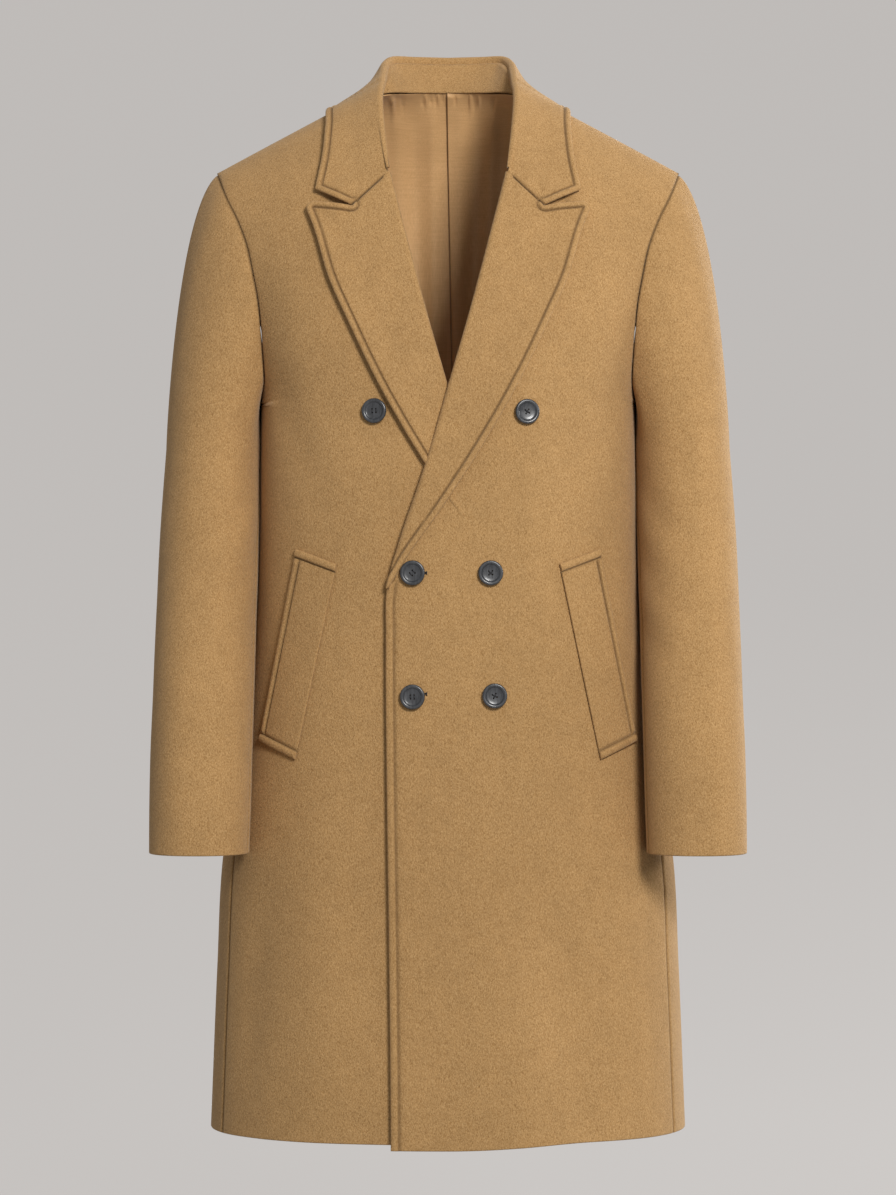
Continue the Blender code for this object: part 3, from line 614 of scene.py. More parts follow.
def stand_clear(points, out, step=0.0002):
    """Points moved off the upper body until they are at least this far outside it."""
    points = np.array(points, dtype=float)
    for _ in range(5):
        slopes = [
            (upper_level(points + step * axis) - upper_level(points - step * axis)) / (2 * step)
            for axis in np.eye(3)
        ]
        slope = np.stack(slopes, axis=-1)
        steepness = np.linalg.norm(slope, axis=-1, keepdims=True)
        distance = upper_level(points)[..., None] / steepness
        points = points + slope / steepness * np.clip(out - distance, 0.0, 0.004)
    return points


def armhole_loop():
    """The left armhole, from the shoulder point down its front, under the arm and up its back."""
    shoulder = (SHOULDER_HALF, 0.0, ridge_z(SHOULDER_HALF))
    front = [(x, front_y(x, z), z) for z, x, _ in ARMHOLE]
    back = [(x, back_y(x, z), z) for z, _, x in ARMHOLE]
    side = half_width_at(CHEST_Z)
    under = [
        (side, -0.022, 0.006 - UNDERARM_DROP),
        (side, 0.000, -UNDERARM_DROP),
        (side, 0.022, 0.006 - UNDERARM_DROP),
    ]
    return spline([shoulder, *front, *under, *back[::-1], shoulder], 4 * DENSE)


ARMHOLE_LOOP = armhole_loop()
UNDERARM_SHARE = np.argmin(ARMHOLE_LOOP[:, 2]) / (len(ARMHOLE_LOOP) - 1)


def slopes_down(grid):
    """Direction of each column of a grid at each of its points, whatever their spacing."""
    columns = np.swapaxes(grid, 0, 1)
    return np.stack([np.gradient(line, lengths(line), axis=0, edge_order=2) for line in columns], axis=1)


def grid_normals(grid):
    up = slopes_down(grid)
    across = np.swapaxes(slopes_down(np.swapaxes(grid, 0, 1)), 0, 1)
    return unit(np.cross(across, up))


def level_at_ridge(grid, normals):
    """Normals of a front or back, square to the shoulder seam in its last row, so that the walls meet flush."""
    x = grid[-1, :, :1]
    square = unit(np.concatenate([SHOULDER_SLOPE * np.sign(x), np.zeros_like(x), np.ones_like(x)], axis=1))
    on_shoulder = smooth_step(0.8 * NECK_HALF, NECK_HALF, np.abs(x))
    normals[-1] = unit(normals[-1] + (square - normals[-1]) * on_shoulder)
    return normals


QUARTER_SINE = np.sin(np.linspace(0, math.pi / 2, DENSE))  # closer together at the side


def end_at(curve, end):
    """The curve with its last stretch eased onto a point."""
    ease = np.linspace(0, 1, len(curve))[:, None] ** END_EASE
    return curve + (end - curve[-1]) * ease


def front_row_below(z, over):
    edge = float(front_edge_at(z))
    side = torso_ring(z, 0, side_seam_angle(z))[-1]
    x = edge + (side[0] - edge) * QUARTER_SINE
    curve = end_at(np.stack([x, front_y(x, z, over), np.full(DENSE, z)], axis=1), side)
    if over:
        at_hem = smooth_step(HEM_Z + 0.12, HEM_Z, z)
        curve[:, 2] -= OVERLAP_HEM_DROP * at_hem * (1 - smooth_step(0.0, 0.15, x))
    return curve


def front_row_above(share, over):
    """A row from the roll line or the neckline to the armhole, and at the top the shoulder seam."""
    left_z = CHEST_Z + (NECK_TOP - CHEST_Z) * share
    left = np.array([float(front_edge_at(left_z)), left_z])
    right = at_shares(ARMHOLE_LOOP, [UNDERARM_SHARE * (1 - share)])[0]
    x, z = (left + (right[[0, 2]] - left) * QUARTER_SINE[:, None]).T
    z = np.minimum(z + (ridge_z(x) - z) * share**END_EASE, ridge_z(x))
    return end_at(np.stack([x, front_y(x, z, over), z], axis=1), right)


def back_row_above(neck_share, shoulder_share):
    """A row across the upper back, bent up at the top into the neck seam and the shoulder seam."""
    left_z = CHEST_Z + (NAPE_Z - CHEST_Z) * neck_share
    right = at_shares(ARMHOLE_LOOP, [UNDERARM_SHARE + (1 - UNDERARM_SHARE) * shoulder_share])[0]
    ridge = np.linspace(NECK_HALF, SHOULDER_HALF, DENSE)[1:]
    seam = np.concatenate([spline(NECK_SEAM), np.stack([ridge, ridge_z(ridge)], axis=1)])
    top = at_shares(seam, QUARTER_SINE)
    straight = np.array([0.0, left_z]) + (right[[0, 2]] - (0.0, left_z)) * QUARTER_SINE[:, None]
    over_shoulder = smooth_step(0.05, 0.11, top[:, :1])
    bent = neck_share**4 + (shoulder_share**4 - neck_share**4) * over_shoulder
    x, z = (straight + (top - straight) * bent).T
    z = np.minimum(z, ridge_z(x))
    return end_at(np.stack([x, back_y(x, z), z], axis=1), right)


def sleeve_ring(ring, shares):
    z, centre_x, centre_y, half_width, half_depth = ring
    turn = 2 * math.pi * shares
    cosine, sine = np.cos(turn), np.sin(turn)
    x = centre_x + half_width * np.sign(cosine) * np.abs(cosine) ** (2 / SLEEVE_POWER)
    y = centre_y - half_depth * np.sign(sine) * np.abs(sine) ** (2 / SLEEVE_POWER)
    return np.stack([x, y, np.full_like(x, z)], axis=1)


def sleeve_cap(shares):
    """Rows from the armhole to the first level ring, which leave outwards on top and downwards under the arm."""
    turn = 2 * math.pi * shares
    under = ((1 - np.cos(turn)) / 2)[:, None]
    leave = np.array(SHOULDER_LEAVE) * (1 - under) + np.array(UNDERARM_LEAVE) * under
    leave[:, 1] -= SLEEVE_SPREAD * np.sin(turn)
    leave /= np.linalg.norm(leave, axis=1, keepdims=True)
    start = at_shares(ARMHOLE_LOOP, shares) + leave * SEAM
    end = sleeve_ring(SLEEVE_RINGS[0], shares)
    reach = np.linalg.norm(end - start, axis=1, keepdims=True)
    first, last = CAP_BENDS
    rows = []
    for t in np.linspace(0, 1, CAP_ROWS) ** CAP_CROWDING:
        ease = t * t * (3 - 2 * t)
        bend = leave * (first * t * (1 - t) ** 2) - np.array(SLEEVE_ARRIVE) * (last * t * t * (1 - t))
        rows.append(start + (end - start) * ease + bend * reach)
    return rows


def beside_gorge(point, side):
    """A point of the gorge seam, moved half a seam's gap to the collar's side, 1, or the lapel's, -1."""
    along = np.subtract(GORGE_END, GORGE_START)
    normal = np.array([-along[1], along[0]]) / np.linalg.norm(along)
    return np.array(point) + normal * side * SEAM / 2


def collar_stations(shares):
    """For each place round half of the collar: the fold's crest, its two directions, its turns and its edge."""
    fold = np.array(COLLAR_FOLD)
    along = lengths(fold[:, :3]) / lengths(fold[:, :3])[-1]
    table = [(along[i], *fold[i]) for i in range(len(fold))]
    crest = np.stack([smooth_table(table, k)(shares) for k in (1, 2, 3)], axis=1)
    crest = stand_clear(crest, CREST_CLEARANCE)
    tangent = unit(np.gradient(crest, lengths(crest), axis=0))
    outward = crest * (1, 0, 0) + np.maximum(crest, 0) * (0, 1, 0)
    outward = unit(outward - tangent * (outward * tangent).sum(axis=1, keepdims=True))
    turns = np.radians(np.stack([smooth_table(table, 4)(shares), smooth_table(table, 5)(shares)], axis=1))
    depth = smooth_table(table, 6)(shares)
    edge = at_shares(spline([row[:3] for row in COLLAR_EDGE]), shares)
    return crest, outward, np.cross(tangent, outward), turns, depth, edge


def both_sides(half):
    """A whole grid from its left half, whose first column lies on the centre line."""
    return np.concatenate([half[:0:-1] * (-1, 1, 1), half])


# ---- Fine grids


def spaced(length, middle, start=(0.0,), end=(0.0,)):
    """Distances along a line: close together near its ends, where an edge rolls or a seam dips, else even."""
    start, end = np.array(start), np.array(end)
    squeeze = min(1.0, 0.4 * length / max(start[-1] + end[-1], 1e-6))
    first, last = start * squeeze, length - end[::-1] * squeeze
    return np.concatenate([first, np.linspace(first[-1], last[0], middle + 2)[1:-1], last])


def sample(curve, distances):
    return at_shares(curve, distances / lengths(curve)[-1])


def seamed_row(curve, middle, start=SEAMED, trim=0.0):
    """A row of points that stops short of a seam at its far end by half the seam's gap."""
    length = lengths(curve)[-1] - trim - SEAM / 2
    return sample(curve, trim + spaced(length, middle, start, SEAMED))


def lapel_width_at(z):
    return np.clip(lapel_outer_at(z) - front_edge_at(z), 0.0, None) * (z > BREAK_Z)


def roll_reach(width):
    """How far the rolled edge of a lapel takes up of its width."""
    return np.minimum(ROLL_RADIUS, 0.3 * width)


def lower_levels():
    return HEM_Z + spaced(CHEST_Z - HEM_Z, LOWER_ROWS, PLAIN)[:-1]


def front_grid(over):
    shares = 1 - (1 - np.linspace(0, 1, UPPER_ROWS)) ** CROWDING
    curves = [front_row_below(z, over) for z in lower_levels()]
    curves += [front_row_above(share, over) for share in shares]
    heights = [curve[0, 2] for curve in curves]
    trims = [float(max(roll_reach(lapel_width_at(z)) - CLOTH / 2, 0.0)) for z in heights]
    rows = [seamed_row(curve, FRONT_COLUMNS, STITCHED, trim) for curve, trim in zip(curves, trims)]
    rows = rows[:-3] + rows[-1:]
    rows[-1][:, 1] -= SEAM / 2
    return np.array(rows)


def back_grid():
    neck = np.linspace(0, 1, UPPER_ROWS)
    shoulder = 1 - (1 - neck) ** CROWDING
    curves = [torso_ring(z, math.pi, side_seam_angle(z)) for z in lower_levels()]
    curves += [back_row_above(*shares) for shares in zip(neck, shoulder)]
    rows = [seamed_row(curve, BACK_COLUMNS, (0.0,)) for curve in curves]
    rows[-1][:, 1] += SEAM / 2
    return np.array([np.concatenate([row[::-1], row[1:] * (-1, 1, 1)]) for row in rows])


def sleeve_grid(start, end, columns):
    shares = np.mod(np.linspace(start, end, 3 * columns), 1.0)
    rings = np.array(SLEEVE_RINGS)
    top, cuff = rings[0, 0], rings[-1, 0]
    levels = cuff + spaced(top - cuff, SLEEVE_ROWS, PLAIN)[:-1]
    readers = [smooth_table(SLEEVE_RINGS, key) for key in range(1, 5)]
    lower = [sleeve_ring((z, *(float(read(z)) for read in readers)), shares) for z in levels]
    cap = sleeve_cap(shares)
    loop, leave = cap[0], unit(cap[1] - cap[0])
    outward = unit(np.cross(leave, np.gradient(loop, axis=0)))
    outward *= np.sign((outward * (loop - loop.mean(axis=0))).sum(axis=1, keepdims=True))
    turned_in = [loop - leave * back - outward * down for back, down in TURN_IN]
    rows = lower + cap[::-1] + turned_in
    places = [SEAM / 2 + spaced(lengths(row)[-1] - SEAM, columns, SEAMED, SEAMED) for row in rows]
    return np.array([sample(row[::-1], place) for row, place in zip(rows, places)])


def rounded_corner(before, after, radius):
    """Two curves that meet at an end, with their corner rounded off and split at its middle."""
    first, second = lengths(before), lengths(after)
    start = sample(before, first[-1:] - radius)[0]
    end = sample(after, np.array([radius]))[0]
    t = np.linspace(0, 1, 21)[:, None]
    arc = start * (1 - t) ** 2 + before[-1] * 2 * t * (1 - t) + end * t * t
    kept_before = before[first < first[-1] - radius]
    kept_after = after[second > radius]
    return np.concatenate([kept_before, arc[:11]]), np.concatenate([arc[10:], kept_after])


def lapel_outline():
    """The lapel's outer edge from the break to its tip, and its top edge from the tip to the gorge's end."""
    outer = spline([(x, z) for z, x in LAPEL_OUTER[::-1]])
    corners = np.array([LAPEL_TIP, LAPEL_SHOULDER, beside_gorge(GORGE_END, -1)])
    return rounded_corner(outer, at_shares(corners, np.linspace(0, 1, DENSE)), TIP_RADIUS)


def lapel_plan():
    """Inner and outer ends of each row of the lapel, and the points of its last row, all in x and z."""
    outline, top = lapel_outline()
    gorge = beside_gorge(GORGE_START, -1)
    outer = sample(outline, spaced(lengths(outline)[-1], LAPEL_ROWS, (0.0,), STITCHED))
    heights = np.linspace(outer[0, 1], gorge[1], 4 * DENSE)
    roll_line = np.stack([front_edge_at(heights), heights], axis=1)
    inner = sample(roll_line, spaced(lengths(roll_line)[-1], LAPEL_ROWS, (0.0,), STITCHED))
    last = np.concatenate([np.linspace(gorge, beside_gorge(GORGE_END, -1), DENSE)[:-1], top[::-1]])
    return inner, outer, last


def lapel_grid(over):
    """Rows run from inside the coat round the roll line and out to the lapel's edge."""
    inner, outer, last = lapel_plan()
    reach = roll_reach(np.linalg.norm(outer - inner, axis=1))
    from_top = np.linalg.norm(inner - inner[-1], axis=1)
    bends = 1 - smooth_step(0.0, GORGE_BEND, from_top)
    last_places = spaced(lengths(last)[-1] - reach[-1], LAPEL_COLUMNS, (0.0,), STITCHED)
    last_row = sample(last, reach[-1] + last_places)
    turns = np.linspace(-math.pi / 2, math.pi / 2, ROLL_STEPS)
    middle = -CLOTH / 2
    grid = []
    for a, b, roll, bend in zip(inner, outer, reach, bends):
        width = np.linalg.norm(b - a)
        along = (b - a) / width
        at = roll + spaced(width - roll, LAPEL_COLUMNS, (0.0,), STITCHED)
        flat = a + along * at[:, None]
        straight = inner[-1] + (outer[-1] - inner[-1]) * (at / width)[:, None]
        flat = flat + (last_row - straight) * bend
        facing = np.linspace(min(FACING_WIDTH, 0.6 * width), 0.0, FACING_STEPS, endpoint=False)
        under = a + along * (roll + facing)[:, None]
        arc = a + along * (roll - roll * np.cos(turns))[:, None]
        place = np.concatenate([under, arc, flat[1:]])
        out = np.concatenate(
            [
                np.full(FACING_STEPS, middle - ROLL_RADIUS),
                middle + ROLL_RADIUS * np.sin(turns),
                np.full(len(flat) - 1, LAYER + CLOTH),
            ]
        )
        grid.append(on_front(place[:, 0], place[:, 1], out, over))
    return np.array(grid)


def collar_grid():
    """Rows run round the collar: its inside seam, the turns of its fold, and its fall down to the outer edge."""
    out = LAYER + COLLAR_CLOTH
    edge_curve = spline([row[:3] for row in COLLAR_EDGE])
    shares = spaced(1.0, COLLAR_COLUMNS, (0.0,), np.array(STITCHED) / lengths(edge_curve)[-1])
    stations = collar_stations(shares)
    gorge, corner = beside_gorge(GORGE_START, 1), beside_gorge(GORGE_END, 1)
    leaf_edge = at_shares(np.array([corner, LEAF_TIP]), np.linspace(0, 1, DENSE))
    leaf = np.concatenate([np.linspace(gorge, corner, DENSE)[:-1], leaf_edge])
    falls, heads = [], []
    for crest, outward, up, (start, end), depth, edge in zip(*stations):
        centre = crest - up * FOLD_RADIUS
        turns = np.linspace(start, end, FOLD_STEPS)[:, None]
        arc = centre + FOLD_RADIUS * (outward * np.cos(turns) + up * np.sin(turns))
        inside = arc[0] + depth * (up * math.cos(start) - outward * math.sin(start))
        onward = outward * math.sin(end) - up * math.cos(end)
        edge = stand_clear(edge, out)
        middle = arc[-1] + onward * 0.5 * np.linalg.norm(edge - arc[-1])
        t = np.linspace(0, 1, DENSE)[:, None]
        fall = arc[-1] * (1 - t) ** 2 + middle * 2 * t * (1 - t) + edge * t * t
        length = lengths(fall)[-1]
        falls.append(sample(fall, spaced(length, FALL_STEPS, (0.0,), STITCHED))[1:])
        heads.append(np.concatenate([inside + (arc[0] - inside) * np.linspace(0, 1, 5)[:-1, None], arc]))
    falls, heads = np.array(falls), np.array(heads)
    leaf_length = lengths(leaf)[-1]
    leaf = sample(leaf, spaced(leaf_length, FALL_STEPS, (0.0,), STITCHED))[1:]
    target = on_front(leaf[:, 0], leaf[:, 1], out)
    from_end = np.linalg.norm(stations[5] - stations[5][-1], axis=1)
    bends = (1 - smooth_step(0.0, LEAF_BEND, from_end))[:, None, None]
    falls = falls + (target - falls[-1]) * bends
    falls = stand_clear(falls, out)
    half = np.concatenate([heads, falls], axis=1)
    return np.swapaxes(both_sides(half), 0, 1)


def neckline():
    """Left half of the neck's edge on the coat's surface: nape to shoulder seam, and on to the gorge."""
    x, z = spline(NECK_SEAM).T
    behind = np.stack([x, back_y(x, z), z], axis=1)
    z = np.linspace(NECK_TOP, GORGE_START[1], DENSE)
    x = front_edge_at(z)
    return behind, np.stack([x, front_y(x, z), z], axis=1)


def stand_grid():
    """The band inside the neck, from the neck seam up to the collar's inside seam, as it shows from inside."""
    shares = np.linspace(0, STAND_REACH, STAND_COLUMNS)
    crest, outward, up, turns, depth, _ = collar_stations(shares)
    start = turns[:, :1]
    into = outward * np.cos(start) + up * np.sin(start)
    down = up * np.cos(start) - outward * np.sin(start)
    top = crest - up * FOLD_RADIUS + into * FOLD_RADIUS + down * (depth[:, None] + SEAM)
    behind, before = neckline()
    behind_length = lengths(behind)[-1]
    half = behind_length / (behind_length + lengths(before)[-1])
    at_shoulder = np.interp(0.0, -crest[:, 1], shares)
    along = np.interp(shares, [0, at_shoulder, 1], [0, half, 1])
    path = at_shares(np.concatenate([behind, before[1:]]), along)
    shy = STAND_SHY * smooth_step(0.055, 0.025, crest[:, 1:2])
    away = unit(path * (1, 1, 0))
    foot = path - away * (STAND_DEPTH - shy) - (0, 0, STAND_DROP)
    top = top + outward * shy * 0.6
    t = spaced(1.0, STAND_ROWS, np.array(SEAMED) / STAND_HEIGHT, np.array(STITCHED[:6]) / STAND_HEIGHT)
    half_grid = foot + (top - foot) * t[:, None, None]
    tucked = top - into * STAND_TUCK[0] - down * STAND_TUCK[1]
    half_grid = np.concatenate([half_grid, [tucked]])
    return np.swapaxes(both_sides(np.swapaxes(half_grid, 0, 1)), 0, 1)[:, ::-1]


def lining_grid():
    """The lining as it shows from inside, its columns beside the centre pleat and close together near it."""
    grid = back_grid()
    grid = grid - level_at_ridge(grid, grid_normals(grid)) * (CLOTH + LAYER + LINING_CLOTH)
    count = len(grid)
    low, high = np.arange(8, LOWER_ROWS, 2), np.arange(LOWER_ROWS, count - 8)
    picks = np.concatenate([low, high, np.linspace(count - 8, count - 1, 36)])
    below = np.minimum(picks.astype(int), count - 2)
    rows = grid[below] + (grid[below + 1] - grid[below]) * (picks - below)[:, None, None]
    near = np.concatenate([np.arange(0.0, 0.004, 0.0004), np.arange(0.004, LINING_WIDE, 0.0011)])
    near = np.concatenate([-near[:0:-1], near])
    result = []
    for row in rows:
        along = lengths(row)
        middle = along[len(row) // 2]
        outer = np.linspace(LINING_WIDE + 0.004, along[-1] - middle - LINING_TRIM, 22)
        shift = PLEAT_X + PLEAT_LEAN * row[len(row) // 2, 2]
        places = middle - np.concatenate([-outer[::-1], near + shift, outer])
        result.append(np.stack([np.interp(places, along, row[:, k]) for k in range(3)], axis=1))
    return np.array(result)


def welt_grid(over):
    upper_inner, upper_outer, lower_outer, lower_inner = np.array(WELT_CORNERS)
    down = spaced(1.0, WELT_ROWS, np.array(STITCHED) / WELT_SIZE[1], np.array(STITCHED) / WELT_SIZE[1])
    down = down[::-1, None]
    inner = upper_inner + (lower_inner - upper_inner) * down
    outer = upper_outer + (lower_outer - upper_outer) * down
    across = spaced(1.0, WELT_COLUMNS, np.array(PLAIN) / WELT_SIZE[0], np.array(STITCHED) / WELT_SIZE[0])
    across = across[None, :, None]
    x, z = np.moveaxis(inner[:, None] + (outer - inner)[:, None] * across, -1, 0)
    return on_front(x, z, WELT_LAYERS * LAYER + WELT_CLOTH, over)


# ---- Soft folds


def on_surface(path, in_front):
    points = np.array(path, dtype=float)
    y = front_y(points[:, 0], points[:, 1]) if in_front else back_y(points[:, 0], points[:, 1])
    return spline(np.stack([points[:, 0], y, points[:, 1]], axis=1), 40)


def distance_to(points, line):
    """Least distance from each point to a polyline, and the nearest place's share of the way along it."""
    flat = points.reshape(-1, 3)
    best = np.full(len(flat), 1e9)
    share = np.zeros(len(flat))
    for k in range(len(line) - 1):
        start, step = line[k], line[k + 1] - line[k]
        square = max(float(step @ step), 1e-12)
        along = np.clip((flat - start) @ step / square, 0.0, 1.0)
        gap = ((flat - start - along[:, None] * step) ** 2).sum(axis=1)
        closer = gap < best
        best = np.where(closer, gap, best)
        share = np.where(closer, (k + along) / (len(line) - 1), share)
    return np.sqrt(best).reshape(points.shape[:-1]), share.reshape(points.shape[:-1])


def fold_height(points, folds):
    """How far the cloth's soft troughs and ridges move its points outwards."""
    height = np.zeros(points.shape[:-1])
    for line, half_width, rise in folds:
        gap, share = distance_to(points, line)
        fade = np.sin(math.pi * np.clip(0.08 + 0.84 * share, 0, 1)) ** 0.8
        height += rise * fade * np.exp(-((gap / half_width) ** 2))
    return height


BODY_FOLDS = [(on_surface(path, True), width, rise) for path, width, rise in FRONT_FOLDS]
BODY_FOLDS += [(on_surface(path, False), width, rise) for path, width, rise in BACK_FOLDS]


def sleeve_folds(mirrored):
    readers = [smooth_table(SLEEVE_RINGS, key) for key in range(1, 5)]
    folds = []
    for path, width, rise, other_rise in SLEEVE_FOLDS:
        line = []
        for share, z in path:
            ring = (z, *(float(read(z)) for read in readers))
            line.append(sleeve_ring(ring, np.array([share]))[0])
        folds.append((spline(line, 30), width, other_rise if mirrored else rise))
    return folds


# ---- Shells


def edge_profile(distance, groove_at):
    """Height of a topstitched edge: a soft roll outside the stitches and a groove along them."""
    share = np.clip(distance / groove_at, 0.0, 1.0)
    puff = EDGE_PUFF * np.sin(math.pi * share) ** 0.8
    return puff - GROOVE_DEPTH * np.exp(-(((distance - groove_at) / GROOVE_WIDTH) ** 2))


def edge_lift(grid, line, starts):
    """How far cloth stands off along a free edge, setting in over a length from each end of the edge."""
    gap, share = distance_to(grid, line)
    total = lengths(line)[-1]
    along = share * total
    ramp = smooth_step(0.0, starts[0], along) * smooth_step(0.0, starts[1], total - along)
    height = BACK_LIFT + (EDGE_LIFT - BACK_LIFT) * smooth_step(0.01, -0.05, grid[..., 1])
    return height * ramp * (1 - smooth_step(0.0, LIFT_REACH, gap))


def nearest(grid, lines):
    if not lines:
        return np.full(grid.shape[:-1], 1.0)
    return np.min([distance_to(grid, line)[0] for line in lines], axis=0)


def add_mesh(name, points, faces, material, painted_shade=None):
    data = bpy.data.meshes.new(name)
    data.from_pydata([tuple(p) for p in points], [], [tuple(f) for f in faces])
    # painted shade, kept for each point for the material to darken the colour by
    if painted_shade is not None:
        data.attributes.new("painted_shade", "FLOAT", "POINT").data.foreach_set("value", painted_shade)
    data.validate()
    data.shade_smooth()
    data.materials.append(material)
    item = bpy.data.objects.new(name, data)
    bpy.context.scene.collection.objects.link(item)
    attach(item, "root")
    return item


def grid_faces(rows, columns):
    """Faces of a closed wall, whose outer points come first and whose inner ones follow."""
    at = np.arange(rows * columns).reshape(rows, columns)
    back = at + rows * columns
    a, b, c, d = at[:-1, :-1], at[:-1, 1:], at[1:, 1:], at[1:, :-1]
    outer = np.stack([a, b, c, d], axis=-1).reshape(-1, 4)
    inner = (np.stack([d, c, b, a], axis=-1) + rows * columns).reshape(-1, 4)
    rims = [
        np.stack([back[:-1, 0], at[:-1, 0], at[1:, 0], back[1:, 0]], axis=-1),
        np.stack([at[:-1, -1], back[:-1, -1], back[1:, -1], at[1:, -1]], axis=-1),
        np.stack([back[0, :-1], back[0, 1:], at[0, 1:], at[0, :-1]], axis=-1),
        np.stack([at[-1, :-1], at[-1, 1:], back[-1, 1:], back[-1, :-1]], axis=-1),
    ]
    return np.concatenate([outer, inner, *rims])


def shell(name, grid, thickness, material, node, *, mirrored=False, rolled=(), seams=(), shallow=(), stitched=(),
          folds=(), extra=None, lift=0.0, shade=0.0, at_shoulder=False, groove_at=GROOVE_AT):
    """A piece of cloth: rolled at its free edges, dipped at its seams, grooved along its stitches and folded, with
    painted shade along its seams and grooves.
    """
    normals = grid_normals(grid)
    if at_shoulder:
        normals = level_at_ridge(grid, normals)
    radius = EDGE_ROUNDING * thickness
    edge = nearest(grid, [*rolled, *stitched])
    sink = radius - np.sqrt(radius**2 - np.clip(radius - edge, 0.0, radius) ** 2)
    seam = nearest(grid, seams)
    dip = SEAM_DIP * (1 - smooth_step(0.0, SEAM_DIP_WIDTH, seam)) ** 2
    flush = nearest(grid, shallow)
    dip = np.maximum(dip, ARMHOLE_DIP * (1 - smooth_step(0.0, SEAM_DIP_WIDTH, flush)))
    # painted shade along the seams, darkest on their middle line
    dark = np.exp(-((np.minimum(seam, flush) / PAINTED_SHADE_WIDTH) ** 2))
    side = np.array([-1.0 if mirrored else 1.0, 1.0, 1.0])
    height = fold_height(grid * side, folds)
    lifted = unit(normals * (LIFT_SIDEWAYS, 1.0, LIFT_SIDEWAYS)) * np.asarray(lift)[..., None]
    detail = -sink - dip
    if stitched:
        sewn = nearest(grid, stitched)
        detail = detail + edge_profile(sewn, groove_at)
        # painted shade in the groove along the stitches
        dark = np.maximum(dark, STITCH_PAINTED_SHADE * np.exp(-(((sewn - groove_at) / PAINTED_SHADE_WIDTH) ** 2)))
    # and any painted shade that is passed in
    dark = np.maximum(dark, shade)
    if extra is not None:
        detail = detail + extra
    outer = grid + lifted + normals * (height + detail)[..., None]
    inner = grid + lifted + normals * (height - thickness + sink)[..., None]
    points = np.concatenate([outer.reshape(-1, 3), inner.reshape(-1, 3)]) * side
    faces = grid_faces(*grid.shape[:2])
    if mirrored:
        faces = faces[:, ::-1]
    # the painted shade, on the outer face only
    painted_shade = np.concatenate([dark.reshape(-1), np.zeros(dark.size)])
    item = add_mesh(name, points, faces, material, painted_shade=painted_shade)
    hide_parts(node)
    return item


# ---- Stitches


def add_stitches(name, line, normals, material, sizes=(STITCH_PITCH, STITCH_LENGTH, THREAD_RADIUS)):
    """A row of short stitches along a line on the cloth, each a thread that rises and dives back in."""
    pitch, length, radius = sizes
    total = lengths(line)[-1]
    starts = np.arange(pitch / 2, total - length, pitch)
    arc = np.array([-0.9, 0.35, 0.7, 0.35, -0.9]) * radius
    turns = np.linspace(0, 2 * math.pi, 6, endpoint=False)
    points, faces = [], []
    for start in starts:
        at = (start + np.linspace(0, length, len(arc))) / total
        spine = at_shares(line, at)
        out = unit(at_shares(normals, at))
        along = unit(np.gradient(spine, axis=0))
        aside = unit(np.cross(along, out))
        spine = spine + out * arc[:, None]
        base = len(points)
        for k in range(len(arc)):
            width = radius * (0.55 if k in (0, len(arc) - 1) else 1.0)
            ring = spine[k] + width * (np.cos(turns)[:, None] * aside[k] + np.sin(turns)[:, None] * out[k])
            points.extend(ring)
        for k in range(len(arc) - 1):
            for m in range(6):
                n = (m + 1) % 6
                faces.append((base + 6 * k + m, base + 6 * k + n, base + 6 * k + 6 + n, base + 6 * k + 6 + m))
        faces.append(tuple(base + m for m in range(5, -1, -1)))
        faces.append(tuple(base + 6 * (len(arc) - 1) + m for m in range(6)))
    return add_mesh(name, points, faces, material)


def stitches_on_front(name, plan, out, over, side, material):
    """Stitches along a line in x and z on a front, out from the front's own surface."""
    place = on_front(plan[:, 0], plan[:, 1], out, over)
    normals = unit(on_front(plan[:, 0], plan[:, 1], out + 0.001, over) - place)
    flip = np.array([side, 1.0, 1.0])
    place, normals = place * flip, normals * flip
    place = place + normals * fold_height(place, BODY_FOLDS)[:, None]
    return add_stitches(name, place, normals, material)


def inset(plan, distance):
    """A line in x and z moved sideways, to its left."""
    along = unit(np.gradient(plan, axis=0))
    return plan + np.stack([-along[:, 1], along[:, 0]], axis=1) * distance


# ---- Buttons


def lathe(profile, sides):
    """A round form about +Z from radius and height pairs, the first and last of them on its axis."""
    turns = np.linspace(0, 2 * math.pi, sides, endpoint=False)
    points, faces, rings = [], [], []
    for radius, height in profile:
        if radius < 1e-9:
            rings.append([len(points)] * sides)
            points.append((0.0, 0.0, height))
        else:
            rings.append(list(range(len(points), len(points) + sides)))
            points.extend((radius * math.cos(t), radius * math.sin(t), height) for t in turns)
    for upper, lower in zip(rings[:-1], rings[1:]):
        for k in range(sides):
            corners = [upper[k], lower[k], lower[(k + 1) % sides], upper[(k + 1) % sides]]
            faces.append(tuple(dict.fromkeys(corners)))
    return points, faces


